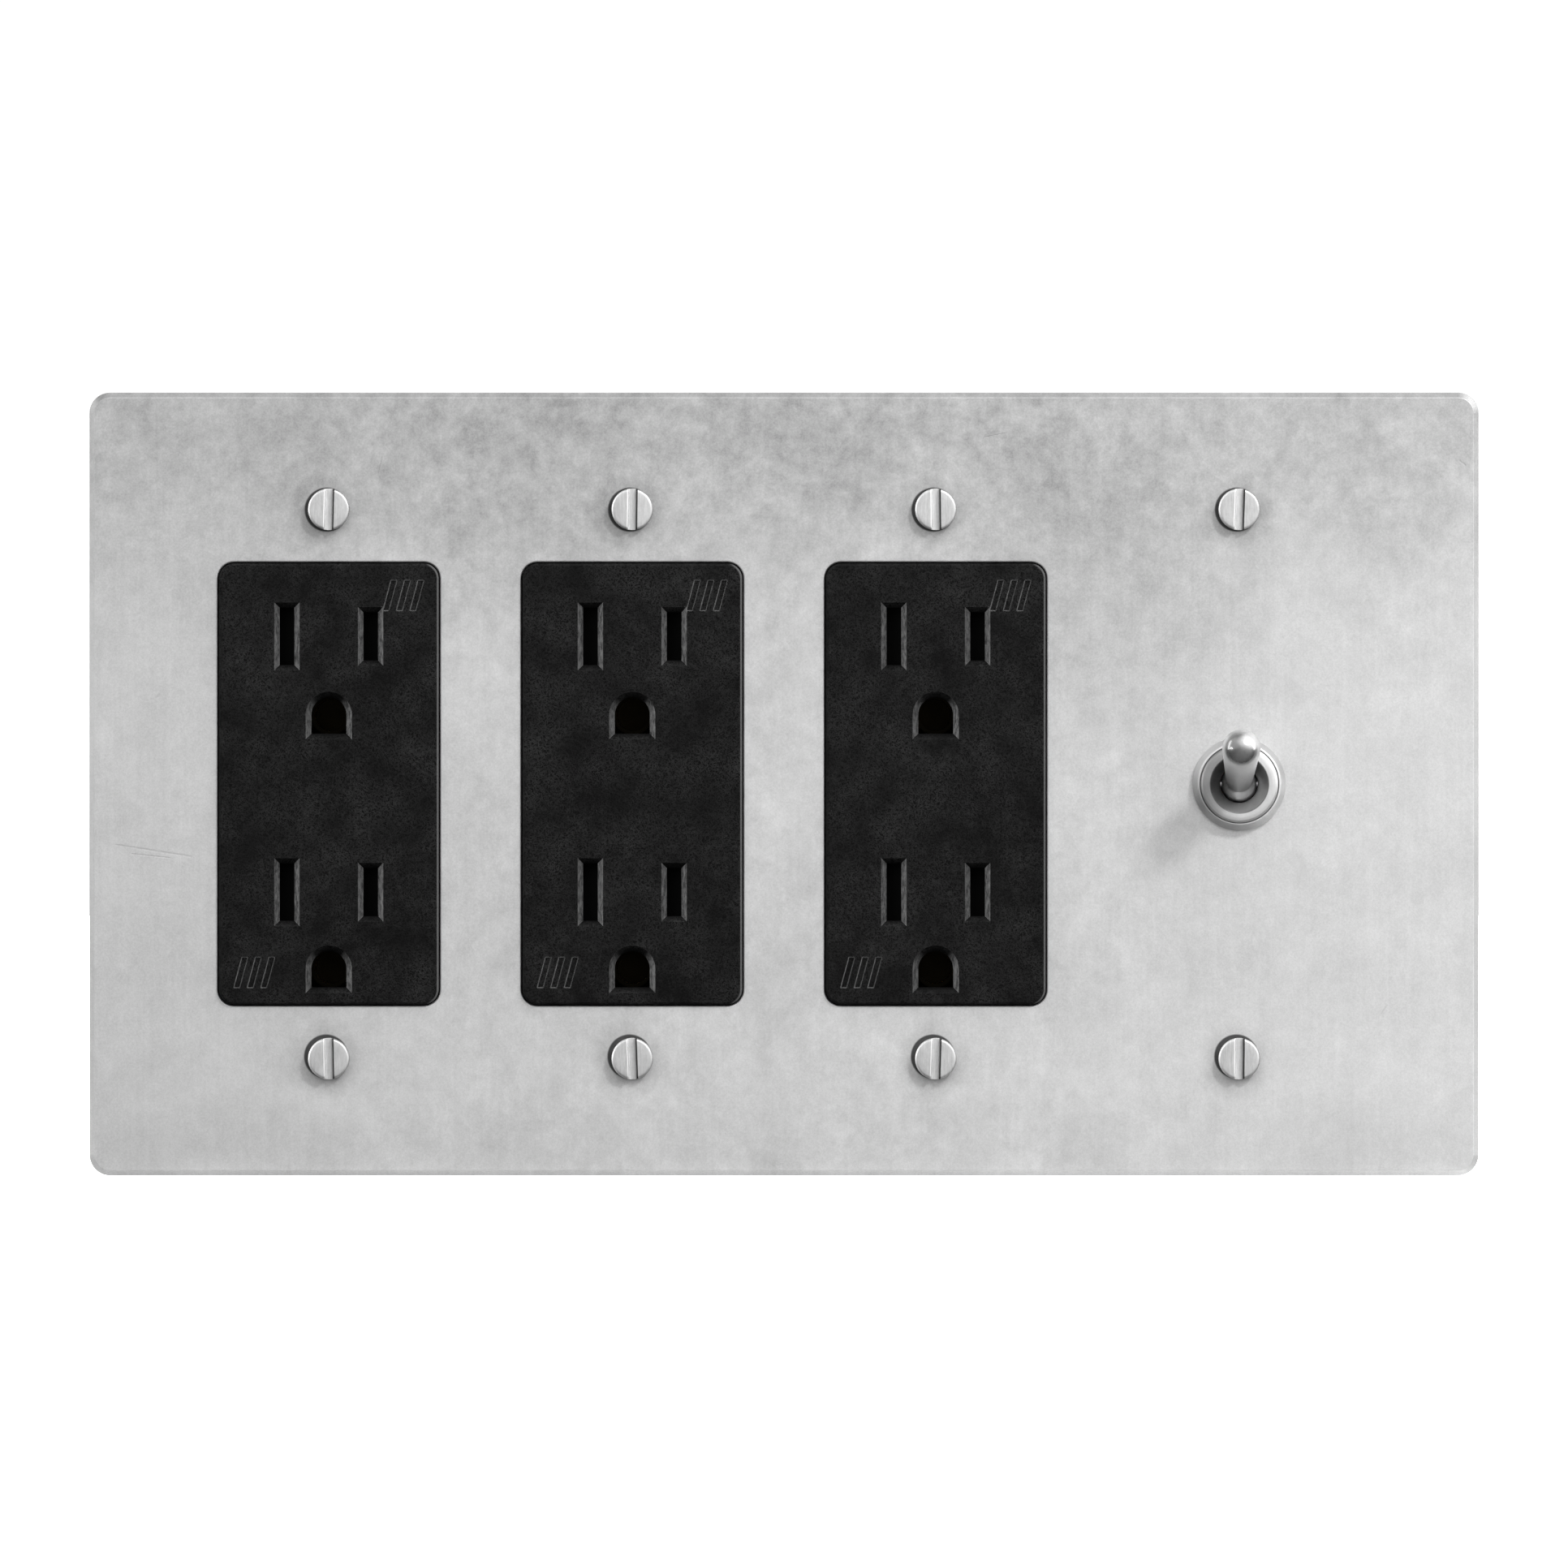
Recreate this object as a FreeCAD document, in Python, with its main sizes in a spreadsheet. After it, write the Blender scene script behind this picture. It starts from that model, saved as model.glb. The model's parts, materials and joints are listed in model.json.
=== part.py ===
import FreeCAD, Part
import Sketcher
import math
import os
from FreeCAD import Vector, Placement, Rotation

# Four-gang wall plate cover: three decorator duplex receptacles and one bat-lever toggle switch.
# Own frame, in mm: X to the right, Z up, +Y into the wall. The origin is the centre of the
# cover's rear face, which lies on the wall. The front of the cover looks along -Y.

os.makedirs("parts", exist_ok=True)
doc = FreeCAD.newDocument("WallPlateCover")
sheet = doc.addObject("Spreadsheet::Sheet", "Params")


def text(v):
    return ("%.5f" % v).rstrip("0").rstrip(".") or "0"


class Q:
    """A size with its value and the sheet expression it is worked out from."""

    def __init__(self, v, e):
        self.v, self.e = float(v), e

    def __add__(self, o):
        return Q(self.v + q(o).v, "(%s + %s)" % (self.e, q(o).e))

    def __sub__(self, o):
        return Q(self.v - q(o).v, "(%s - %s)" % (self.e, q(o).e))

    def __mul__(self, o):
        return Q(self.v * q(o).v, "(%s * %s)" % (self.e, q(o).e))

    def __truediv__(self, o):
        return Q(self.v / q(o).v, "(%s / %s)" % (self.e, q(o).e))

    def __neg__(self):
        return Q(-self.v, "(0 - %s)" % self.e)

    def __radd__(self, o):
        return q(o) + self

    def __rsub__(self, o):
        return q(o) - self

    def __rmul__(self, o):
        return q(o) * self


def q(x):
    if isinstance(x, Q):
        return x
    return Q(x, text(x) if x >= 0 else "(0 - %s)" % text(-x))


rows = []


def par(alias, value, note):
    n = len(rows) + 2
    rows.append(alias)
    sheet.set("A%d" % n, alias)
    sheet.set("B%d" % n, text(value))
    sheet.set("C%d" % n, note)
    sheet.setAlias("B%d" % n, alias)
    return Q(value, "Params." + alias)


sheet.set("A1", "name")
sheet.set("B1", "mm or degrees")
sheet.set("C1", "what it sizes")

plate_width = par("plate_width", 210.8, "cover, overall width")
plate_height = par("plate_height", 118.8, "cover, overall height")
plate_depth = par("plate_depth", 5.0, "cover, wall to front surface")
plate_skin = par("plate_skin", 2.0, "cover, front skin thickness")
plate_wall = par("plate_wall", 2.2, "cover, rim thickness")
plate_corner = par("plate_corner", 3.1, "cover, outline corner radius")
plate_edge = par("plate_edge", 0.78, "cover, front edge bevel")
gang_pitch = par("gang_pitch", 46.04, "distance between devices")
screw_half = par("screw_half", 41.67, "half the height between a device's two screws")
boss_radius = par("boss_radius", 5.0, "cover, screw boss radius")
hole_radius = par("hole_radius", 2.0, "cover, screw hole radius")
opening_width = par("opening_width", 33.6, "cover, device opening width")
opening_height = par("opening_height", 67.2, "cover, device opening height")
opening_corner = par("opening_corner", 2.4, "cover, device opening corner radius")
toggle_hole = par("toggle_hole", 6.15, "cover, toggle bushing hole radius")

head_radius = par("head_radius", 3.15, "cover screw, head radius")
head_high = par("head_high", 1.7, "cover screw, head height")
head_chamfer = par("head_chamfer", 0.35, "cover screw, head chamfer")
slot_wide = par("slot_wide", 1.2, "cover screw, driver slot width")
slot_deep = par("slot_deep", 0.9, "cover screw, driver slot depth")
neck_radius = par("neck_radius", 1.45, "cover screw, neck radius under the head")
thread_radius = par("thread_radius", 1.75, "cover screw, thread radius")
thread_start = par("thread_start", 1.2, "cover screw, thread start behind the wall plane")
thread_end = par("thread_end", 20.4, "cover screw, tip behind the wall plane")
washer_radius = par("washer_radius", 4.2, "retaining washer, outer radius")
washer_bore = par("washer_bore", 1.5, "retaining washer, bore radius")
washer_thick = par("washer_thick", 0.8, "retaining washer, thickness")

face_width = par("face_width", 33.35, "receptacle face, width")
face_height = par("face_height", 66.95, "receptacle face, height")
face_proud = par("face_proud", 0.8, "receptacle face, how far it stands out of the cover")
face_skin = par("face_skin", 2.2, "receptacle face, skin thickness")
face_corner = par("face_corner", 2.3, "receptacle face, corner radius")
face_edge = par("face_edge", 0.45, "receptacle face, front edge rounding")
cavity_width = par("cavity_width", 30.2, "receptacle face, rear hollow width")
cavity_height = par("cavity_height", 63.8, "receptacle face, rear hollow height")
line_upper = par("line_upper", 22.4, "upper outlet, height of the blade slots")
line_lower = par("line_lower", -16.4, "lower outlet, height of the blade slots")
ground_below = par("ground_below", 11.9, "ground hole's centre below the blade slots, upper outlet")
ground_below_low = par("ground_below_low", 11.6, "ground hole's centre below the blade slots, lower outlet")
blade_x = par("blade_x", 6.35, "blade slots, distance from the outlet's middle")
blade_slot = par("blade_slot", 2.23, "blade slots, width")
neutral_tall = par("neutral_tall", 8.7, "neutral slot, height")
hot_tall = par("hot_tall", 7.3, "hot slot, height")
slot_chamfer = par("slot_chamfer", 0.8, "blade slots, mouth chamfer")
ground_radius = par("ground_radius", 2.65, "ground opening, arch radius")
ground_drop = par("ground_drop", 2.85, "ground opening, flat side below the arch centre")
ground_chamfer = par("ground_chamfer", 0.85, "ground opening, mouth chamfer")
mark_deep = par("mark_deep", 0.25, "face marks, engraved depth")
mark_wide = par("mark_wide", 0.88, "face marks, stroke width")
mark_tall = par("mark_tall", 4.6, "face marks, stroke height")

body_width = par("body_width", 33.0, "receptacle body, width")
body_height = par("body_height", 69.6, "receptacle body, height")
body_deep = par("body_deep", 25.8, "receptacle body, depth behind the wall plane")
deck_width = par("deck_width", 29.9, "receptacle body, width of the deck under the face")
deck_height = par("deck_height", 63.5, "receptacle body, height of the deck under the face")
deck_up = par("deck_up", 1.6, "receptacle body, how far the deck stands forward")
chamber_floor = par("chamber_floor", 20.0, "receptacle body, depth of the contact chambers")
strap_thick = par("strap_thick", 1.5, "mounting strap thickness")
strap_half = par("strap_half", 9.5, "mounting strap, half width")
ear_half = par("ear_half", 16.5, "mounting strap ears, half width")
ear_low = par("ear_low", 43.5, "mounting strap ears, where they widen")
ear_end = par("ear_end", 52.8, "mounting strap ears, end")
strap_in = par("strap_in", 35.0, "mounting strap, inner face of its legs")
tap_half = par("tap_half", 48.4, "tapped holes, half the distance between them")
tap_radius = par("tap_radius", 1.45, "tapped holes, radius")
slot_half = par("slot_half", 3.5, "strap screw slot, half length")
slot_radius = par("slot_radius", 2.1, "strap screw slot, end radius")
sheet_brass = par("sheet_brass", 0.8, "contact strip thickness")
tube_bore = par("tube_bore", 2.45, "ground contact, bore radius")
tube_outer = par("tube_outer", 3.05, "ground contact, outer radius")
tube_front = par("tube_front", 6.0, "ground contact, front end of the tube")
terminal_radius = par("terminal_radius", 2.05, "terminal screw, shank radius")
terminal_head = par("terminal_head", 3.9, "terminal screw, head radius")
terminal_deep = par("terminal_deep", 12.0, "terminal screws, depth behind the wall plane")
terminal_up = par("terminal_up", 17.0, "upper terminal screws, height")
terminal_low = par("terminal_low", -14.0, "lower terminal screws, height")
shutter_half = par("shutter_half", 5.2, "shutter, half height")
shutter_travel = par("shutter_travel", 2.9, "shutter, travel")
post_low_x = par("post_low_x", 7.0, "lower assembly post, sideways")
post_low_z = par("post_low_z", -29.5, "lower assembly post, height")
post_up_z = par("post_up_z", 30.6, "upper assembly post, height")

pivot_deep = par("pivot_deep", -3.9, "lever pivot, position along Y")
lever_tilt = par("lever_tilt", 18.0, "lever, tilt either side of straight out")
lever_long = par("lever_long", 17.3, "lever, pivot to the centre of its round end")
lever_end = par("lever_end", 2.9, "lever, end radius")
lever_root = par("lever_root", 2.0, "lever, root radius")
lever_ball = par("lever_ball", 2.75, "lever, ball radius")
lever_tail = par("lever_tail", 8.5, "lever, pivot to the end of the tail")
tail_radius = par("tail_radius", 1.7, "lever, tail radius")
bushing_radius = par("bushing_radius", 5.9, "bushing, outer radius")
bushing_front = par("bushing_front", -7.6, "bushing, front end along Y")
bushing_mouth = par("bushing_mouth", 4.33, "bushing, mouth radius")
bushing_bore = par("bushing_bore", 2.85, "bushing, bore radius")
ring_radius = par("ring_radius", 7.05, "dress ring, outer radius")
ring_high = par("ring_high", 2.2, "dress ring, height above the cover")
nut_flats = par("nut_flats", 14.0, "hexagon nuts, across flats")
case_half_x = par("case_half_x", 8.5, "switch case, half width")
case_half_z = par("case_half_z", 13.8, "switch case, half height")
case_front = par("case_front", 3.1, "switch case, front end along Y")
case_back = par("case_back", 19.0, "switch case, back end along Y")
case_wall = par("case_wall", 1.2, "switch case, wall thickness")
rocker_deep = par("rocker_deep", 8.2, "rocker pivot, position along Y")
rocker_tilt = par("rocker_tilt", 8.0, "rocker, tilt either side of level")
button_z = par("button_z", 7.3, "rocker buttons, distance from the pivot")
lug_z = par("lug_z", 9.0, "outer switch lugs, distance from the middle")
lug_end = par("lug_end", 25.0, "switch lugs, end along Y")

doc.recompute()


# ---------------------------------------------------------------- helpers

def bind(obj, prop, value):
    obj.setExpression(prop, q(value).e)


def new_body(name):
    return doc.addObject("PartDesign::Body", name)


def sketch(body, name, plane, offset):
    """A sketch on one of the body's origin planes, moved along that plane's normal."""
    ref = [f for f in body.Origin.OriginFeatures if f.Role == plane + "_Plane"][0]
    sk = body.newObject("Sketcher::SketchObject", name)
    sk.AttachmentSupport = [(ref, "")]
    sk.MapMode = "FlatFace"
    sk.AttachmentOffset = Placement(Vector(0, 0, q(offset).v), Rotation())
    bind(sk, "AttachmentOffset.Base.z", offset)
    return sk


def wire(sk, pts, arcs=None):
    """A closed outline. arcs[i] = (centre x, centre y, counterclockwise, pinned axis) makes the side after point i an arc."""
    arcs = arcs or {}
    pts = [(q(a), q(b)) for a, b in pts]
    n, ids, ends = len(pts), [], []
    for i in range(n):
        (ax, ay), (bx, by) = pts[i], pts[(i + 1) % n]
        if i in arcs:
            cx, cy, ccw, _ = arcs[i]
            cx, cy = q(cx), q(cy)
            r = math.hypot(ax.v - cx.v, ay.v - cy.v)
            a0 = math.atan2(ay.v - cy.v, ax.v - cx.v)
            a1 = math.atan2(by.v - cy.v, bx.v - cx.v)
            if not ccw:
                a0, a1 = a1, a0
            if a1 <= a0:
                a1 += 2 * math.pi
            geo = Part.ArcOfCircle(Part.Circle(Vector(cx.v, cy.v, 0), Vector(0, 0, 1), r), a0, a1)
            ends.append((1, 2) if ccw else (2, 1))
        else:
            geo = Part.LineSegment(Vector(ax.v, ay.v, 0), Vector(bx.v, by.v, 0))
            ends.append((1, 2))
        ids.append(sk.addGeometry(geo, False))
    cons, exprs = [], []
    for i in range(n):
        j = (i + 1) % n
        cons.append(Sketcher.Constraint("Coincident", ids[i], ends[i][1], ids[j], ends[j][0]))
        exprs.append(None)
    for i in range(n):
        for kind, val in (("DistanceX", pts[i][0]), ("DistanceY", pts[i][1])):
            cons.append(Sketcher.Constraint(kind, -1, 1, ids[i], ends[i][0], val.v))
            exprs.append(val)
    for i, (cx, cy, _, pin) in arcs.items():
        val = q(cx) if pin == "x" else q(cy)
        cons.append(Sketcher.Constraint("DistanceX" if pin == "x" else "DistanceY", -1, 1, ids[i], 3, val.v))
        exprs.append(val)
    for c, e in zip(sk.addConstraint(cons), exprs):
        if e is not None and "Params" in e.e:
            sk.setExpression("Constraints[%d]" % c, e.e)


def circle(sk, cx, cy, r):
    cx, cy, r = q(cx), q(cy), q(r)
    g = sk.addGeometry(Part.Circle(Vector(cx.v, cy.v, 0), Vector(0, 0, 1), r.v), False)
    cons = [
        Sketcher.Constraint("Radius", g, r.v),
        Sketcher.Constraint("DistanceX", -1, 1, g, 3, cx.v),
        Sketcher.Constraint("DistanceY", -1, 1, g, 3, cy.v),
    ]
    for c, e in zip(sk.addConstraint(cons), (r, cx, cy)):
        if "Params" in e.e:
            sk.setExpression("Constraints[%d]" % c, e.e)


def rect(x0, x1, y0, y1):
    return [(x0, y0), (x1, y0), (x1, y1), (x0, y1)]


def stadium(sk, cx, cy, half, r):
    """A slot with round ends along the sketch's first axis."""
    cx, cy, half, r = q(cx), q(cy), q(half), q(r)
    a, b = cx - (half - r), cx + (half - r)
    wire(
        sk,
        [(a, cy - r), (b, cy - r), (b, cy + r), (a, cy + r)],
        {1: (b, cy, True, "x"), 3: (a, cy, True, "x")},
    )


def arch(sk, cx, cy, r, drop):
    """An opening with a round top and a flat bottom."""
    cx, cy, r, drop = q(cx), q(cy), q(r), q(drop)
    wire(sk, [(cx - r, cy - drop), (cx + r, cy - drop), (cx + r, cy), (cx - r, cy)], {2: (cx, cy, True, "y")})


def extrude(body, name, plane, lo, hi, draw, cut=False):
    """Pad or pocket between two planes. lo and hi are positions along Y, X or Z for the XZ, YZ and XY planes."""
    lo, hi = q(lo), q(hi)
    if plane == "XZ":
        off = -lo if cut else -hi
    else:
        off = hi if cut else lo
    sk = sketch(body, name + "_sketch", plane, off)
    draw(sk)
    f = body.newObject("PartDesign::Pocket" if cut else "PartDesign::Pad", name)
    f.Profile = sk
    f.Length = (hi - lo).v
    bind(f, "Length", hi - lo)
    return f


def polygon(body, name, plane, lo, hi, pts, arcs=None, cut=False):
    return extrude(body, name, plane, lo, hi, lambda sk: wire(sk, pts, arcs), cut)


def revolve(body, name, pts, arcs=None, cut=False):
    """Turn an outline of (radius, y) points about the body's Y axis."""
    sk = sketch(body, name + "_sketch", "XY", 0)
    wire(sk, pts, arcs)
    f = body.newObject("PartDesign::Groove" if cut else "PartDesign::Revolution", name)
    f.Profile = sk
    f.ReferenceAxis = (sk, ["V_Axis"])
    f.Angle = 360.0
    return f


def box(body, name, x0, x1, y0, y1, z0, z1, cut=False):
    x0, x1, y0, y1, z0, z1 = [q(v) for v in (x0, x1, y0, y1, z0, z1)]
    f = body.newObject("PartDesign::SubtractiveBox" if cut else "PartDesign::AdditiveBox", name)
    f.Placement = Placement(Vector(x0.v, y0.v, z0.v), Rotation())
    for p, v in (("Length", x1 - x0), ("Width", y1 - y0), ("Height", z1 - z0), ("Placement.Base.x", x0), ("Placement.Base.y", y0), ("Placement.Base.z", z0)):
        bind(f, p, v)
    return f


def rod(body, name, axis, at, r, lo, hi, cut=False, r2=None):
    """A cylinder, or a cone to r2, along x, y or z. at gives the other two coordinates."""
    lo, hi, r = q(lo), q(hi), q(r)
    u, v = q(at[0]), q(at[1])
    kind = "Cylinder" if r2 is None else "Cone"
    f = body.newObject("PartDesign::%s%s" % ("Subtractive" if cut else "Additive", kind), name)
    base = {"x": (lo, u, v), "y": (u, lo, v), "z": (u, v, lo)}[axis]
    turn = {"x": Rotation(Vector(0, 1, 0), 90), "y": Rotation(Vector(1, 0, 0), -90), "z": Rotation()}[axis]
    f.Placement = Placement(Vector(*[b.v for b in base]), turn)
    for p, val in zip(("Placement.Base.x", "Placement.Base.y", "Placement.Base.z"), base):
        bind(f, p, val)
    if r2 is None:
        bind(f, "Radius", r)
    else:
        bind(f, "Radius1", r)
        bind(f, "Radius2", q(r2))
    bind(f, "Height", hi - lo)
    return f


def ball(body, name, x, y, z, r):
    f = body.newObject("PartDesign::AdditiveSphere", name)
    f.Placement = Placement(Vector(q(x).v, q(y).v, q(z).v), Rotation())
    for p, val in (("Radius", r), ("Placement.Base.x", x), ("Placement.Base.y", y), ("Placement.Base.z", z)):
        bind(f, p, val)
    return f


def pick(feature, test):
    """Names of the feature's edges whose middle point and box pass the test."""
    doc.recompute()
    out = []
    for i, e in enumerate(feature.Shape.Edges):
        if test(e.BoundBox):
            out.append("Edge%d" % (i + 1))
    return out


def round_edges(body, name, feature, radius, test, kind="Fillet"):
    names = pick(feature, test)
    if not names:
        raise ValueError("no edges for " + name)
    f = body.newObject("PartDesign::" + kind, name)
    f.Base = (feature, names)
    bind(f, "Radius" if kind == "Fillet" else "Size", radius)
    return f


def near(a, b, tol=0.01):
    return abs(a - b) < tol


NODES = {}


def node(obj, label):
    obj.Label = label
    NODES[label] = obj
    return obj


def group(label, master, spots):
    """Identical separate pieces in one node. spots is a list of (x, y, z, Rotation)."""
    links = []
    for i, (x, y, z, turn) in enumerate(spots):
        x, y, z = q(x), q(y), q(z)
        k = doc.addObject("App::Link", "%s_%d" % (label, i + 1))
        k.LinkedObject = master
        k.LinkTransform = False
        k.Placement = Placement(Vector(x.v, y.v, z.v), turn)
        for p, val in (("Placement.Base.x", x), ("Placement.Base.y", y), ("Placement.Base.z", z)):
            if "Params" in val.e:
                bind(k, p, val)
        links.append(k)
    c = doc.addObject("Part::Compound", label)
    c.Links = links
    return node(c, label)


STRAIGHT = Rotation()
HALF_TURN = Rotation(Vector(1, 0, 0), 180)
TO_RIGHT = Rotation(Vector(0, 0, 1), 90)
TO_LEFT = Rotation(Vector(0, 0, 1), -90)

gang_x = [-1.5 * gang_pitch, -0.5 * gang_pitch, 0.5 * gang_pitch, 1.5 * gang_pitch]
SIDES = ["left", "centre", "right"]
front = -plate_depth

# ---------------------------------------------------------------- the cover

plate = new_body("wall_plate")
slab = polygon(plate, "slab", "XZ", front, 0, rect(plate_width / -2, plate_width / 2, plate_height / -2, plate_height / 2))
corners = round_edges(plate, "outline_corners", slab, plate_corner, lambda b: b.YLength > 4.9)
edge = round_edges(plate, "front_bevel", corners, plate_edge, lambda b: near(b.YMin, -5.0) and near(b.YMax, -5.0), kind="Chamfer")
soft = round_edges(plate, "bevel_softening", edge, 0.12, lambda b: b.YLength < 0.01 and (near(b.YMin, -5.0) or near(b.YMin, plate_edge.v - 5.0)))
hollow_x, hollow_z = plate_width / 2 - plate_wall, plate_height / 2 - plate_wall
hollow = polygon(plate, "rear_hollow", "XZ", front + plate_skin, 0, rect(-hollow_x, hollow_x, -hollow_z, hollow_z), cut=True)
hollow_corners = round_edges(plate, "hollow_corners", hollow, 1.5, lambda b: near(b.YLength, 3.0) and near(b.YMax, 0) and abs(b.XMin) < 104 and abs(b.ZMin) < 58)
hollow_floor = round_edges(plate, "hollow_floor", hollow_corners, 0.5, lambda b: near(b.YMin, -3.0) and near(b.YMax, -3.0))


def eight(sk, r):
    for gx in gang_x:
        for sz in (1, -1):
            circle(sk, gx, screw_half * sz, r)


bosses = extrude(plate, "screw_bosses", "XZ", front + plate_skin - 0.2, -strap_thick, lambda sk: eight(sk, boss_radius))
openings = extrude(
    plate, "device_openings", "XZ", front - 0.5, 0,
    lambda sk: [wire(sk, rect(gx - opening_width / 2, gx + opening_width / 2, opening_height / -2, opening_height / 2)) for gx in gang_x[:3]],
    cut=True,
)
opening_rounds = round_edges(
    plate, "opening_corners", openings, opening_corner,
    lambda b: near(b.XLength, 0) and near(b.ZLength, 0) and near(abs(b.ZMin), 33.6) and b.YLength > 1.5,
)
round_edges(
    plate, "opening_edge", opening_rounds, 0.3,
    lambda b: near(b.YMin, -5.0) and near(b.YMax, -5.0) and abs(b.ZMin) < 33.7 and abs(b.ZMax) < 33.7 and b.XMax < 40 and b.XMin > -86.5,
)
extrude(plate, "screw_holes", "XZ", front - 0.5, 0, lambda sk: eight(sk, hole_radius), cut=True)
extrude(plate, "bushing_hole", "XZ", front - 0.5, 0, lambda sk: circle(sk, gang_x[3], 0, toggle_hole), cut=True)
node(plate, "wall_plate")

screw = new_body("cover_screw_master")
revolve(screw, "turned", [
    (0, front - head_high), (head_radius - head_chamfer, front - head_high), (head_radius, front - head_high + head_chamfer),
    (head_radius, front), (neck_radius, front), (neck_radius, thread_start), (thread_radius, thread_start + 0.3),
    (thread_radius, thread_end - 0.6), (thread_radius - 0.6, thread_end), (0, thread_end),
])
box(screw, "driver_slot", slot_wide / -2, slot_wide / 2, front - head_high - 0.5, front - head_high + slot_deep, -5, 5, cut=True)
spots = [(gx, 0, screw_half * sz) for gx in gang_x for sz in (1, -1)]
tilts = [1.5, -1.2, 0.8, -2.0, -0.6, 1.8, 2.0, 0.5]
group("plate_screws", screw, [(x, y, z, Rotation(Vector(0, 1, 0), tilts[i])) for i, (x, y, z) in enumerate(spots)])

washer = new_body("washer_master")
revolve(washer, "ring", [(washer_bore, 0), (washer_radius, 0), (washer_radius, washer_thick), (washer_bore, washer_thick)])
group("screw_retaining_washers", washer, [(x, y, z, STRAIGHT) for x, y, z in spots])

# ---------------------------------------------------------------- the receptacles

lines = [line_upper, line_lower]
grounds = [line_upper - ground_below, line_lower - ground_below_low]


def receptacle_face(label, gx):
    b = new_body(label)
    top = front - face_proud
    blank = polygon(b, "blank", "XZ", top, 0, rect(face_width / -2, face_width / 2, face_height / -2, face_height / 2))
    round1 = round_edges(b, "corners", blank, face_corner, lambda k: k.YLength > 5)
    round2 = round_edges(b, "front_edge", round1, face_edge, lambda k: near(k.YMin, -5.8) and near(k.YMax, -5.8))
    polygon(b, "rear_cavity", "XZ", top + face_skin, 0, rect(cavity_width / -2, cavity_width / 2, cavity_height / -2, cavity_height / 2), cut=True)

    def slots(sk):
        for zc in lines:
            for side, tall in ((-1, neutral_tall), (1, hot_tall)):
                xc = blade_x * side
                wire(sk, rect(xc - blade_slot / 2, xc + blade_slot / 2, zc - tall / 2, zc + tall / 2))
    cut1 = extrude(b, "blade_slots", "XZ", top - 0.5, 0, slots, cut=True)
    cham1 = round_edges(
        b, "blade_slot_mouths", cut1, slot_chamfer,
        lambda k: near(k.YMin, -5.8) and near(k.YMax, -5.8) and k.XMin > -7.6 and k.XMax < 7.6 and k.ZMin > -21 and k.ZMax < 27,
        kind="Chamfer",
    )
    cut2 = extrude(b, "ground_openings", "XZ", top - 0.5, 0, lambda sk: [arch(sk, 0, zc, ground_radius, ground_drop) for zc in grounds], cut=True)
    round_edges(
        b, "ground_mouths", cut2, ground_chamfer,
        lambda k: near(k.YMin, -5.8) and near(k.YMax, -5.8) and k.XMin > -2.7 and k.XMax < 2.7 and abs(k.ZMin) < 31,
        kind="Chamfer",
    )

    def marks(sk):
        lean = mark_tall * 0.27
        for s in (1, -1):
            for i in range(3):
                x0, z0 = 8.2 + 2.05 * i, q(26.3)
                wire(sk, [(s * q(x0), s * z0), (s * (x0 + mark_wide), s * z0), (s * (x0 + mark_wide + lean), s * (z0 + mark_tall)), (s * (x0 + lean), s * (z0 + mark_tall))])
    extrude(b, "engraved_marks", "XZ", top - 0.1, top + mark_deep, marks, cut=True)

    for i, (px, pz) in enumerate(((q(0), post_up_z), (post_low_x, post_low_z))):
        rod(b, "post%d" % i, "y", (px, pz), 2.6, top + face_skin - 0.2, -deck_up)
        rod(b, "pilot%d" % i, "y", (px, pz), 1.45, -4.8, 0, cut=True)
    for i, zc in enumerate(lines):
        for s in (1, -1):
            z0 = zc + (shutter_half + 0.1 if s > 0 else -(shutter_half + 0.9))
            box(b, "guide%d%s" % (i, "a" if s > 0 else "b"), -9, 15.2, top + face_skin - 0.2, -1.7, z0, z0 + 0.8)
        box(b, "spring_seat%d" % i, 14, 15.2, top + face_skin - 0.2, -1.7, zc - 2, zc + 2)
    bind(b, "Placement.Base.x", gx)
    return node(b, label)


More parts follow.
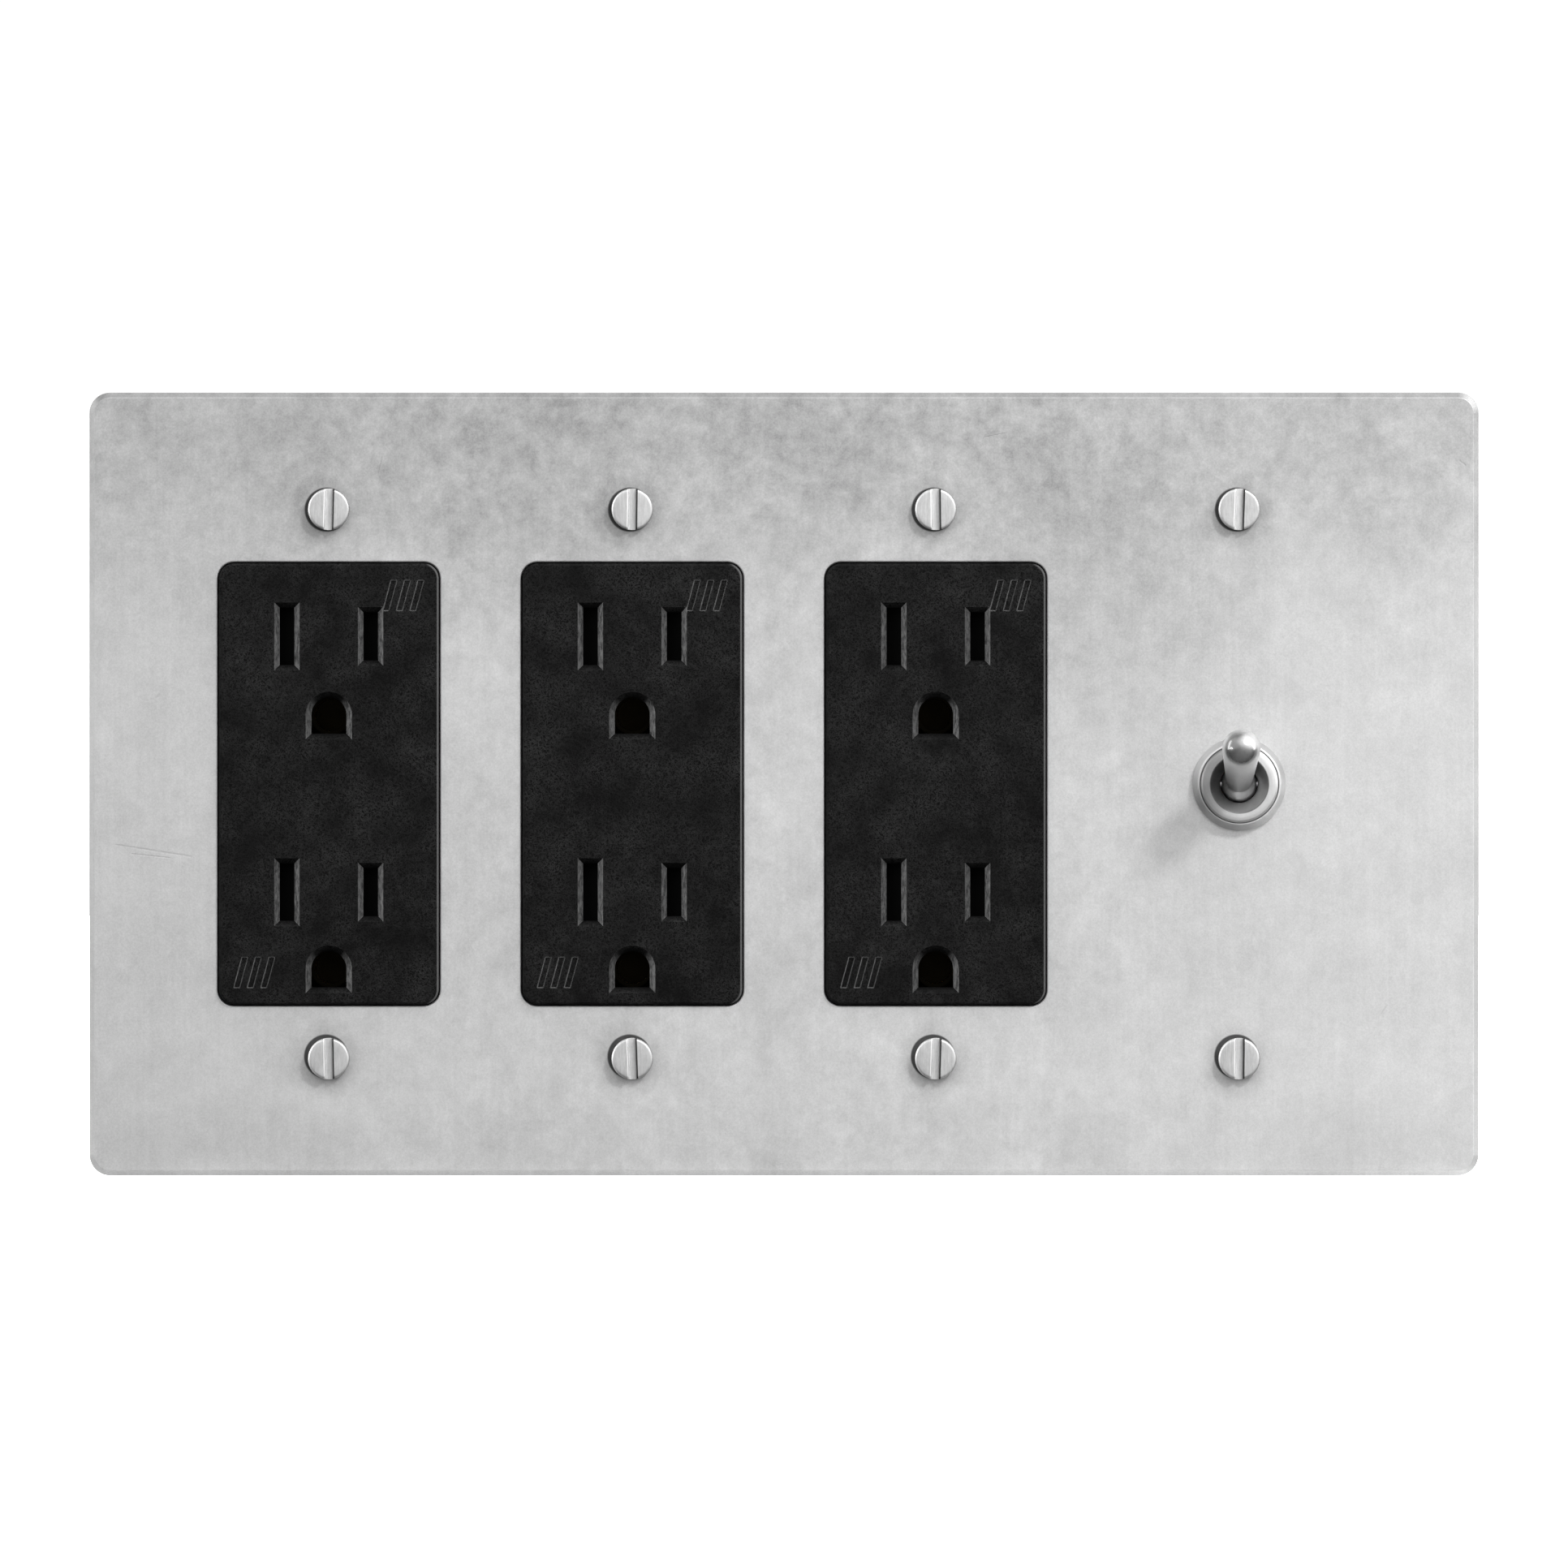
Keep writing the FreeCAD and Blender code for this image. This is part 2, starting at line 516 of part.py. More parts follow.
def receptacle_body(label, gx):
    b = new_body(label)
    block = polygon(b, "block", "XZ", 0, body_deep, rect(body_width / -2, body_width / 2, body_height / -2, body_height / 2))
    sides = round_edges(b, "block_corners", block, 0.8, lambda k: k.YLength > 20)
    round_edges(b, "rear_edge", sides, 0.6, lambda k: near(k.YMin, body_deep.v) and near(k.YMax, body_deep.v))
    extrude(b, "parting_groove", "XZ", 6.0, 6.35, lambda sk: [
        wire(sk, rect(body_width / -2 - 1, body_width / 2 + 1, body_height / -2 - 1, body_height / 2 + 1)),
        wire(sk, rect(0.25 - body_width / 2, body_width / 2 - 0.25, 0.25 - body_height / 2, body_height / 2 - 0.25))], cut=True)
    polygon(b, "deck", "XZ", -deck_up, 0.5, rect(deck_width / -2, deck_width / 2, deck_height / -2, deck_height / 2))

    def chambers(sk):
        for s in (1, -1):
            wire(sk, rect(s * q(4.4), s * q(9.9), -22.5, 28.5))
        wire(sk, rect(-3.4, 3.4, -32, 15))
    extrude(b, "contact_chambers", "XZ", -deck_up - 0.5, chamber_floor, chambers, cut=True)
    polygon(b, "ground_tab_way", "XZ", -deck_up - 0.5, 18.4, rect(-12.1, -3.0, -31.3, -26.7), cut=True)
    for s in (1, -1):
        w = "r" if s > 0 else "l"
        lo, hi = (q(12), q(17)) if s > 0 else (q(-17), q(-12))
        box(b, "side_recess_" + w, lo, hi, 4, 19, -20.5, 23.5, cut=True)
        lo, hi = (q(9.5), q(12.1)) if s > 0 else (q(-12.1), q(-9.5))
        for i, z0 in enumerate((q(19.9), q(-18.7))):
            box(b, "tab_window_%s%d" % (w, i), lo, hi, -2, 15.2, z0, z0 + 1.8, cut=True)
        for i, z0 in enumerate((terminal_up, terminal_low)):
            rod(b, "screw_relief_%s%d" % (w, i), "x", (terminal_deep, z0), 2.3, *((q(10.15), q(12.1)) if s > 0 else (q(-12.1), q(-10.15))), cut=True)
    box(b, "ground_recess", -17, -12, 7, 19, -35, -25, cut=True)
    rod(b, "ground_screw_relief", "x", (12.5, -29.3), 2.3, -12.1, -10.15, cut=True)
    rod(b, "rivet_hole", "y", (0, -10), 1.6, 19, 26.5, cut=True)
    for i, (px, pz) in enumerate(((q(0), post_up_z), (post_low_x, post_low_z))):
        rod(b, "assembly_hole%d" % i, "y", (px, pz), 1.5, -2.5, 26.5, cut=True)
    bind(b, "Placement.Base.x", gx)
    return node(b, label)


def ear_cuts(b):
    def cuts(sk):
        for s in (1, -1):
            stadium(sk, 0, screw_half * s, slot_half, slot_radius)
            circle(sk, 0, tap_half * s, tap_radius)
    extrude(b, "screw_slots_and_taps", "XZ", -strap_thick - 0.3, 0.3, cuts, cut=True)


def ears(b):
    def wings(sk):
        for s in (1, -1):
            wire(sk, [(-ear_half, s * ear_low), (ear_half, s * ear_low), (ear_half, s * ear_end), (-ear_half, s * ear_end)])
    extrude(b, "ears", "XZ", -strap_thick, 0, wings)


def receptacle_strap(label, gx):
    b = new_body(label)
    back, t = body_deep + 0.1, strap_thick
    pts = [(-t, ear_end - 1), (-t, strap_in), (back, strap_in), (back, -strap_in), (-t, -strap_in), (-t, -(ear_end - 1)),
           (0, -(ear_end - 1)), (0, -(strap_in + t)), (back + t, -(strap_in + t)), (back + t, strap_in + t), (0, strap_in + t), (0, ear_end - 1)]
    wrap = polygon(b, "wrap", "YZ", -strap_half, strap_half, pts)
    bends = round_edges(b, "bends", wrap, 1.4, lambda k: k.XLength > 18 and near(k.YMax, 27.4) and near(k.YMin, 27.4))
    ears(b)
    ear_cuts(b)
    rod(b, "rivet_hole", "y", (0, -10), 1.55, 25, 28, cut=True)
    for i, (px, pz) in enumerate(((q(0), post_up_z), (post_low_x, post_low_z))):
        rod(b, "assembly_hole%d" % i, "y", (px, pz), 1.5, 25, 28, cut=True)
    bind(b, "Placement.Base.x", gx)
    return node(b, label)


def side_contact(label, gx, s):
    """The strip on one side of a receptacle: two blade clips on a spine, and two terminal plates joined by a break-off link."""
    b = new_body(label)
    t = sheet_brass

    def span(lo, hi):
        return (s * q(lo), s * q(hi)) if s > 0 else (s * q(hi), s * q(lo))
    lo, hi = span(9.0, 9.8)
    polygon(b, "spine", "YZ", lo, hi, rect(6, 19, -21.5, 27.5))
    for i, zc in enumerate(lines):
        pts = [(9.2, 19), (4.95, 19), (4.95, 2.6), (4.6, 1.0), (5.15, 1.0), (5.55, 2.6), (5.55, 19 - t), (7.15, 19 - t),
               (7.15, 2.6), (7.55, 1.0), (8.1, 1.0), (7.75, 2.6), (7.75, 19 - t), (9.2, 19 - t)]
        polygon(b, "clip%d" % i, "XY", zc - 3.2, zc + 3.2, [(s * q(x), y) for x, y in pts])
    lo, hi = span(12.2, 13.0)
    polygon(b, "terminal_plates", "YZ", lo, hi, [
        (7, -18.5), (17, -18.5), (17, -9.5), (13, -9.5), (13, 12.5), (17, 12.5), (17, 21.5), (7, 21.5), (7, 12.5), (11, 12.5), (11, -9.5), (7, -9.5)])
    lo, hi = span(9.7, 12.3)
    extrude(b, "tabs", "YZ", lo, hi, lambda sk: [wire(sk, rect(9, 15, z0, z0 + 1.4)) for z0 in (q(20.1), q(-18.5))])
    lo, hi = span(12.0, 13.3)
    extrude(b, "screw_holes", "YZ", lo, hi, lambda sk: [circle(sk, terminal_deep, z0, terminal_radius + 0.05) for z0 in (terminal_up, terminal_low)], cut=True)
    bind(b, "Placement.Base.x", gx)
    return node(b, label)


def ground_contact(label, gx):
    b = new_body(label)
    polygon(b, "bar", "XZ", 17.5, 18.3, rect(-3, 3, -31.2, 14))
    polygon(b, "tab", "XZ", 17.5, 18.3, rect(-12.5, -2.5, -31, -27))
    box(b, "terminal_plate", -13, -12.2, 8, 18.3, -33, -25.5)
    for i, zc in enumerate(grounds):
        rod(b, "tube%d" % i, "y", (0, zc), tube_outer, tube_front, 17.6)
        rod(b, "bore%d" % i, "y", (0, zc), tube_bore, 5, 17.5, cut=True)
    rod(b, "rivet", "y", (0, -10), 1.5, 18.2, 27.5)
    rod(b, "rivet_head", "y", (0, -10), 2.5, 27.45, 28.2, r2=1.9)
    rod(b, "screw_hole", "x", (12.5, -29.3), terminal_radius + 0.05, -14, -12, cut=True)
    bind(b, "Placement.Base.x", gx)
    return node(b, label)


def shutter(label, gx, zc):
    b = new_body(label)
    h = shutter_half
    polygon(b, "blade", "XY", -h, h, [(-8, -1.7), (-8, -1.9), (-5.1, -3.5), (4.9, -3.5), (4.9, -1.9), (7.9, -3.5), (7.9, -1.7)])
    polygon(b, "window", "XZ", -4, -1, rect(2.1, 4.9, -4.1, 4.1), cut=True)
    rod(b, "spring_peg", "x", (-2.65, 0), 0.5, 7.8, 8.8)
    bind(b, "Placement.Base.x", gx)
    bind(b, "Placement.Base.z", zc)
    return node(b, label)


def coil(label, radius, wire_r, pitch, turns, spot):
    """A compression spring: a round wire swept along a helix."""
    h = doc.addObject("Part::Helix", label + "_path")
    h.Pitch, h.Height, h.Radius = pitch, pitch * turns, radius
    c = doc.addObject("Part::Circle", label + "_section")
    c.Radius = wire_r
    c.Placement = Placement(Vector(radius, 0, 0), Rotation(Vector(1, 0, 0), 90))
    k = doc.addObject("Part::Sweep", label)
    k.Sections, k.Spine, k.Solid, k.Frenet = [c], (h, ["Edge1"]), True, True
    x, y, z, turn = spot
    k.Placement = Placement(Vector(q(x).v, q(y).v, q(z).v), turn)
    for p, val in (("Placement.Base.x", q(x)), ("Placement.Base.y", q(y)), ("Placement.Base.z", q(z))):
        if "Params" in val.e:
            bind(k, p, val)
    return node(k, label)


for side, gx in zip(SIDES, gang_x[:3]):
    receptacle_face("receptacle_face_" + side, gx)
    receptacle_body("receptacle_body_" + side, gx)
    receptacle_strap("receptacle_strap_" + side, gx)
    side_contact("hot_contact_" + side, gx, 1)
    side_contact("neutral_contact_" + side, gx, -1)
    ground_contact("ground_contact_" + side, gx)
    for level, zc in zip(("upper", "lower"), lines):
        shutter("shutter_%s_%s" % (side, level), gx, zc)
        coil("shutter_spring_%s_%s" % (side, level), 0.72, 0.125, 0.72, 8, (gx + 8.06, -2.65, zc, Rotation(Vector(0, 1, 0), 90)))


def terminal_screw(name, head, shank, long):
    b = new_body(name)
    revolve(b, "turned", [(0, -2.1), (head - 0.3, -2.1), (head, -1.8), (head, 0), (shank, 0), (shank, long - 0.4), (shank - 0.4, long), (0, long)])
    box(b, "driver_slot", -6, 6, -3, -1.1, -0.6, 0.6, cut=True)
    return b


side_screw = terminal_screw("terminal_screw_master", terminal_head, terminal_radius, 3.7)
green_screw = terminal_screw("ground_screw_master", q(3.5), terminal_radius, 3.7)
levels = (terminal_up, terminal_low)
group("hot_terminal_screws", side_screw, [(gx + 14.2, terminal_deep, z, TO_RIGHT) for gx in gang_x[:3] for z in levels])
group("neutral_terminal_screws", side_screw, [(gx - 14.2, terminal_deep, z, TO_LEFT) for gx in gang_x[:3] for z in levels])
group("ground_terminal_screws", green_screw, [(gx - 14.2, 12.5, -29.3, TO_LEFT) for gx in gang_x[:3]])

clamp = new_body("clamp_master")
clamp_blank = polygon(clamp, "plate", "XZ", 0, 1.0, rect(-3.75, 3.75, -4, 4))
extrude(clamp, "hole", "XZ", -0.5, 1.5, lambda sk: circle(sk, 0, 0, terminal_radius + 0.1), cut=True)
group("wire_clamp_plates", clamp, [
    (gx + s * q(14.2), terminal_deep, z, TO_RIGHT if s > 0 else TO_LEFT) for gx in gang_x[:3] for s in (1, -1) for z in levels])

long_screw = new_body("assembly_screw_master")
revolve(long_screw, "turned", [(0, -1.8), (2.2, -1.8), (2.6, -1.2), (2.6, 0), (1.4, 0), (1.4, 31.2), (0.9, 31.8), (0, 31.8)])
box(long_screw, "driver_slot", -4, 4, -2.5, -1.0, -0.4, 0.4, cut=True)
group("receptacle_assembly_screws", long_screw, [
    (gx + px, body_deep + 0.1 + strap_thick, pz, HALF_TURN) for gx in gang_x[:3] for px, pz in ((q(0), post_up_z), (post_low_x, post_low_z))])

# ---------------------------------------------------------------- the toggle switch

tx = gang_x[3]

b = new_body("toggle_strap")
polygon(b, "yoke", "XZ", -strap_thick, 0, rect(-11, 11, -(ear_end - 1), ear_end - 1))
ears(b)
ear_cuts(b)
extrude(b, "bushing_hole", "XZ", -strap_thick - 0.3, 0.3, lambda sk: circle(sk, 0, 0, bushing_radius + 0.1), cut=True)
bind(b, "Placement.Base.x", tx)
node(b, "toggle_strap")

b = new_body("toggle_bushing")
revolve(b, "turned", [
    (bushing_mouth, bushing_front), (bushing_radius - 0.3, bushing_front), (bushing_radius, bushing_front + 0.3), (bushing_radius, 2.0),
    (4.98, 2.0), (4.98, 3.0), (5.3, 3.02), (5.2, 3.09), (4.2, 3.09), (bushing_bore, -1.5), (bushing_bore, -5.1)])
rod(b, "pin_hole", "x", (pivot_deep, 0), 0.62, -7, 7, cut=True)
bind(b, "Placement.Base.x", tx)
node(b, "toggle_bushing")

b = new_body("toggle_dress_ring")
revolve(b, "turned", [
    (bushing_radius + 0.05, front), (ring_radius - 0.1, front), (ring_radius, front - 0.1), (ring_radius, front - 0.7),
    (bushing_radius + 0.45, front - ring_high + 0.12), (bushing_radius + 0.3, front - ring_high), (bushing_radius + 0.05, front - ring_high)])
bind(b, "Placement.Base.x", tx)
node(b, "toggle_dress_ring")

b = new_body("toggle_lock_washer")
lock = revolve(b, "ring", [(bushing_radius + 0.05, -2.0), (8.6, -2.0), (8.6, -1.5), (bushing_radius + 0.05, -1.5)])


def notches(sk):
    for i in range(12):
        a = math.radians(30 * i + 15)
        c, n = math.cos(a), math.sin(a)
        out = [(7.6, -0.35), (9.2, -0.6), (9.2, 0.6), (7.6, 0.35)]
        wire(sk, [(r * c - w * n, r * n + w * c) for r, w in out])


extrude(b, "teeth", "XZ", -2.5, -1.0, notches, cut=True)
bind(b, "Placement.Base.x", tx)
node(b, "toggle_lock_washer")


def hex_nut(label, lo, hi, turn):
    b = new_body(label)
    r = nut_flats * 0.57735
    pts = [(r * math.cos(math.radians(60 * i + turn)), r * math.sin(math.radians(60 * i + turn))) for i in range(6)]
    polygon(b, "hexagon", "XZ", lo, hi, pts)
    extrude(b, "bore", "XZ", lo - 0.5, hi + 0.5, lambda sk: circle(sk, 0, 0, bushing_radius + 0.05), cut=True)
    bind(b, "Placement.Base.x", tx)
    return node(b, label)


hex_nut("toggle_face_nut", q(-2.95), q(-2.0), 10)
hex_nut("toggle_rear_nut", q(0.0), q(1.95), 0)

b = new_body("switch_frame")
polygon(b, "top", "XZ", 2.0, 3.0, rect(-9.5, 9.5, -14.2, 14.2))
for w, lo, hi in (("l", -9.5, -8.6), ("r", 8.6, 9.5)):
    box(b, "side_tab_" + w, lo, hi, 2.5, 12, -9, 9)
extrude(b, "bushing_hole", "XZ", 1.5, 3.5, lambda sk: circle(sk, 0, 0, 5.0), cut=True)
bind(b, "Placement.Base.x", tx)
node(b, "switch_frame")

b = new_body("switch_case")
polygon(b, "block", "XZ", case_front, case_back, rect(-case_half_x, case_half_x, -case_half_z, case_half_z))
polygon(b, "hollow", "XZ", case_front - 0.5, case_back - case_wall,
        rect(case_wall - case_half_x, case_half_x - case_wall, case_wall - case_half_z, case_half_z - case_wall), cut=True)
extrude(b, "lug_slots", "XZ", case_back - case_wall - 0.5, case_back + 0.5,
        lambda sk: [wire(sk, rect(-3.3, 3.3, zc - 0.5, zc + 0.5)) for zc in (lug_z, q(0), -lug_z)], cut=True)
bind(b, "Placement.Base.x", tx)
node(b, "switch_case")

LEAN = Rotation(Vector(-1, 0, 0), lever_tilt.v)


def lever_frame(b):
    """Place a piece that moves with the lever: its own Y axis runs from the lever's end back to its tail."""
    b.Placement = Placement(Vector(tx.v, pivot_deep.v, 0), LEAN)
    bind(b, "Placement.Base.x", tx)
    bind(b, "Placement.Base.y", pivot_deep)


b = new_body("toggle_lever")
revolve(b, "bat", [(0, -lever_long), (lever_end, -lever_long), (lever_root, -1.8), (tail_radius, 0), (tail_radius, lever_tail), (0, lever_tail)])
ball(b, "pivot_ball", 0, 0, 0, lever_ball)
ball(b, "round_end", 0, -lever_long, 0, lever_end)
rod(b, "plunger_bore", "y", (0, 0), 1.0, 3.2, lever_tail + 0.5, cut=True)
rod(b, "pin_hole", "x", (0, 0), 0.65, -4, 4, cut=True)
lever_frame(b)
node(b, "toggle_lever")

b = new_body("lever_pivot_pin")
rod(b, "pin", "x", (pivot_deep, 0), 0.6, -5.6, 5.6)
bind(b, "Placement.Base.x", tx)
node(b, "lever_pivot_pin")

b = new_body("contact_plunger")
revolve(b, "turned", [(0, 6.4), (0.95, 6.4), (0.95, 9.6), (0, 9.6)])
ball(b, "tip", 0, 9.6, 0, 0.95)
lever_frame(b)
node(b, "contact_plunger")

lean_y, lean_z = math.cos(math.radians(lever_tilt.v)), -math.sin(math.radians(lever_tilt.v))
coil("plunger_spring", 0.72, 0.15, 0.7, 4, (tx, pivot_deep + 3.4 * lean_y, 3.4 * lean_z, LEAN.multiply(Rotation(Vector(1, 0, 0), -90))))

b = new_body("rocker_contact")
arc_far = 4.81 ** 2 - 3.2 ** 2
side_n = 6.23 - math.sqrt(arc_far)
groove_half = math.sqrt(0.56 ** 2 - 0.3 ** 2)
polygon(
    b, "rocker", "YZ", -2.8, 2.8,
    [(-0.3, -8.5), (-1.1, -8.5), (-1.1, -3.2), (-side_n, -3.2), (-side_n, 3.2), (-1.1, 3.2), (-1.1, 8.5), (-0.3, 8.5), (-0.3, groove_half), (-0.3, -groove_half)],
    {3: (-6.23, 0, True, "x"), 8: (0, 0, True, "x")},
)
for w, s in (("upper", 1), ("lower", -1)):
    rod(b, "button_" + w, "y", (0, button_z * s), 0.9, -0.4, 0.2)
    rod(b, "button_face_" + w, "y", (0, button_z * s), 0.9, 0.2, 0.45, r2=0.35)
b.Placement = Placement(Vector(tx.v, rocker_deep.v, 0), Rotation(Vector(1, 0, 0), rocker_tilt.v))
bind(b, "Placement.Base.x", tx)
bind(b, "Placement.Base.y", rocker_deep)
node(b, "rocker_contact")


def lug(label, s):
    b = new_body(label)
    z = lug_z * s
    box(b, "leg", -3.2, 3.2, 9.76, lug_end, z - 0.45, z + 0.45)
    lo, hi = (q(5.8), lug_z) if s > 0 else (-lug_z, q(-5.8))
    box(b, "fixed_contact", -2.6, 2.6, 9.76, 10.66, lo, hi)
    rod(b, "screw_hole", "z", (0, 22.2), 1.75, z - 1, z + 1, cut=True)
    bind(b, "Placement.Base.x", tx)
    return node(b, label)


lug("switch_terminal_upper", 1)
b = new_body("switch_terminal_centre")
box(b, "leg", -3.2, 3.2, rocker_deep, lug_end, -0.45, 0.45)
rod(b, "fulcrum", "x", (rocker_deep, 0), 0.5, -3.2, 3.2)
rod(b, "screw_hole", "z", (0, 22.2), 1.75, -1, 1, cut=True)
bind(b, "Placement.Base.x", tx)
node(b, "switch_terminal_centre")
lug("switch_terminal_lower", -1)

lug_screw = new_body("lug_screw_master")
revolve(lug_screw, "turned", [(0, -1.8), (2.6, -1.8), (2.9, -1.5), (2.9, 0), (1.7, 0), (1.7, 3.2), (1.4, 3.5), (0, 3.5)])
box(lug_screw, "driver_slot", -4, 4, -2.5, -1.0, -0.4, 0.4, cut=True)
UP = Rotation(Vector(1, 0, 0), -90)
DOWN = Rotation(Vector(1, 0, 0), 90)
group("switch_terminal_screws", lug_screw, [(tx, 22.2, lug_z + 0.45, UP), (tx, 22.2, 0.45, UP), (tx, 22.2, -(lug_z + 0.45), DOWN)])

# ---------------------------------------------------------------- recompute, check and write

doc.recompute()
problems = []
for o in doc.Objects:
    if "Invalid" in o.State or "Error" in o.State:
        problems.append("%s (%s): %s" % (o.Name, o.Label, o.State))
for o in doc.Objects:
    if o.TypeId in ("PartDesign::Pocket", "PartDesign::Groove", "PartDesign::SubtractiveBox", "PartDesign::SubtractiveCylinder"):
        base = o.BaseFeature
        if base is None or not o.Shape.Volume < base.Shape.Volume - 1e-4:
            problems.append("%s removes nothing" % o.Name)
for label, o in NODES.items():
    s = o.Shape
    if s.isNull() or not s.isValid() or not s.Solids:
        problems.append(label + " has no valid solid")
    elif o.TypeId == "PartDesign::Body" and len(s.Solids) != 1:
        problems.append("%s has %d solids" % (label, len(s.Solids)))
if problems:
    raise ValueError("; ".join(problems))
for label, o in NODES.items():
    o.Shape.exportStep("parts/%s.step" % label)
print(len(NODES), "nodes written")
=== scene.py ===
import bpy
import bmesh
import json
import math
from mathutils import Vector, Matrix


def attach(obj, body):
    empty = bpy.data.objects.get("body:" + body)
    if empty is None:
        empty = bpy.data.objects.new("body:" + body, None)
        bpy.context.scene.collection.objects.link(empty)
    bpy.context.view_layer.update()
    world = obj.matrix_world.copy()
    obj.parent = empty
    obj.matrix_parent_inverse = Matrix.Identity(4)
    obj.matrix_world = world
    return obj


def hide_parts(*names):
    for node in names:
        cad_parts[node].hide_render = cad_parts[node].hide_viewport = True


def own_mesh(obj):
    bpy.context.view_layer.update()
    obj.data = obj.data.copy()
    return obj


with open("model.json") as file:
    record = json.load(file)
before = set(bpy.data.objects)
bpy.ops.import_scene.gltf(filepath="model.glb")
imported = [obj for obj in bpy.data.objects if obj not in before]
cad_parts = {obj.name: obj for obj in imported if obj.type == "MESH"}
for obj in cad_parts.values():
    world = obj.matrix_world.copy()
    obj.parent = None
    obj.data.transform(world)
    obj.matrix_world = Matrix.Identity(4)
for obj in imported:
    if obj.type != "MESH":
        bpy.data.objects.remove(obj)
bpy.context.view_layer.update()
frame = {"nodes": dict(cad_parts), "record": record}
nodes = frame["nodes"]
MM = 0.001

# All sizes below are in mm in the row frame (X right, Z up, +Y into the wall) and are turned into metres on the way in.
PITCH = 46.04
GANG = [-1.5 * PITCH, -0.5 * PITCH, 0.5 * PITCH, 1.5 * PITCH]
SCREW_Z = 41.67
TX = GANG[3]
PIVOT = Vector((TX, -3.9, 0.0))
TILT = math.radians(18)
LEVER_DIR = Vector((0, -math.cos(TILT), math.sin(TILT)))


# ------------------------------------------------------------------ node helpers

class Mat:
    """A node material built up with short calls. Coordinates are the piece's own, in metres."""

    def __init__(self, name):
        self.m = bpy.data.materials.new(name)
        self.m.use_nodes = True
        self.t = self.m.node_tree
        self.t.nodes.clear()
        self.out = self.t.nodes.new("ShaderNodeOutputMaterial")
        self.p = self.t.nodes.new("ShaderNodeBsdfPrincipled")
        self.t.links.new(self.p.outputs[0], self.out.inputs[0])
        self.co = self.t.nodes.new("ShaderNodeTexCoord").outputs["Object"]

    def put(self, socket, value):
        if value is None:
            return
        if isinstance(value, bpy.types.NodeSocket):
            self.t.links.new(value, socket)
        elif isinstance(value, (tuple, list)) and len(value) == 3 and socket.type == "RGBA":
            socket.default_value = (*value, 1)
        else:
            socket.default_value = value

    def set(self, name, value):
        self.put(self.p.inputs[name], value)

    def scale(self, sx, sy, sz, src=None, rot=(0, 0, 0)):
        n = self.t.nodes.new("ShaderNodeMapping")
        self.put(n.inputs["Vector"], src or self.co)
        n.inputs["Scale"].default_value = (sx, sy, sz)
        n.inputs["Rotation"].default_value = rot
        return n.outputs[0]

    def noise(self, scale, detail=4.0, rough=0.55, vec=None, distort=0.0, w=None):
        n = self.t.nodes.new("ShaderNodeTexNoise")
        if w is not None:
            n.noise_dimensions = "4D"
            n.inputs["W"].default_value = w
        self.put(n.inputs["Vector"], vec or self.co)
        n.inputs["Scale"].default_value = scale
        n.inputs["Detail"].default_value = detail
        n.inputs["Roughness"].default_value = rough
        n.inputs["Distortion"].default_value = distort
        return n.outputs["Fac"]

    def voronoi(self, scale, vec=None, feature="F1", out="Distance"):
        n = self.t.nodes.new("ShaderNodeTexVoronoi")
        n.feature = feature
        self.put(n.inputs["Vector"], vec or self.co)
        n.inputs["Scale"].default_value = scale
        return n.outputs[out]

    def math(self, op, a, b=None, c=None, clamp=False):
        n = self.t.nodes.new("ShaderNodeMath")
        n.operation = op
        n.use_clamp = clamp
        for i, v in enumerate((a, b, c)):
            self.put(n.inputs[i], v)
        return n.outputs[0]

    def vmath(self, op, a, b=None):
        n = self.t.nodes.new("ShaderNodeVectorMath")
        n.operation = op
        self.put(n.inputs[0], a)
        if b is not None:
            self.put(n.inputs[1], b)
        return n.outputs["Value"] if op in ("LENGTH", "DISTANCE", "DOT_PRODUCT") else n.outputs["Vector"]

    def ramp(self, fac, lo, hi, a=0.0, b=1.0, smooth=False):
        n = self.t.nodes.new("ShaderNodeMapRange")
        n.interpolation_type = "SMOOTHSTEP" if smooth else "LINEAR"
        n.clamp = True
        self.put(n.inputs["Value"], fac)
        for k, v in (("From Min", lo), ("From Max", hi), ("To Min", a), ("To Max", b)):
            self.put(n.inputs[k], v)
        return n.outputs["Result"]

    def mix(self, fac, a, b, mode="MIX"):
        n = self.t.nodes.new("ShaderNodeMix")
        n.data_type = "RGBA"
        n.blend_type = mode
        n.clamp_factor = True
        self.put(n.inputs["Factor"], fac)
        self.put(n.inputs[6], a)
        self.put(n.inputs[7], b)
        return n.outputs[2]

    def grey(self, v):
        """A grey colour from a value socket."""
        n = self.t.nodes.new("ShaderNodeCombineColor")
        for i in range(3):
            self.put(n.inputs[i], v)
        return n.outputs[0]

    def split(self, src=None):
        n = self.t.nodes.new("ShaderNodeSeparateXYZ")
        self.put(n.inputs[0], src or self.co)
        return n.outputs

    def bump(self, height, strength, distance, normal=None):
        n = self.t.nodes.new("ShaderNodeBump")
        self.put(n.inputs["Height"], height)
        n.inputs["Strength"].default_value = strength
        n.inputs["Distance"].default_value = distance
        if normal is not None:
            self.put(n.inputs["Normal"], normal)
        return n.outputs[0]

    def soft(self, radius):
        """A normal that rounds sharp edges over this radius."""
        n = self.t.nodes.new("ShaderNodeBevel")
        n.samples = 4
        n.inputs["Radius"].default_value = radius
        return n.outputs[0]

    def edge(self, radius, lo=0.02, hi=0.25):
        """1 on sharp edges, 0 on flats."""
        g = self.t.nodes.new("ShaderNodeNewGeometry")
        d = self.vmath("DOT_PRODUCT", self.soft(radius), g.outputs["Normal"])
        return self.ramp(self.math("SUBTRACT", 1.0, d), lo, hi)

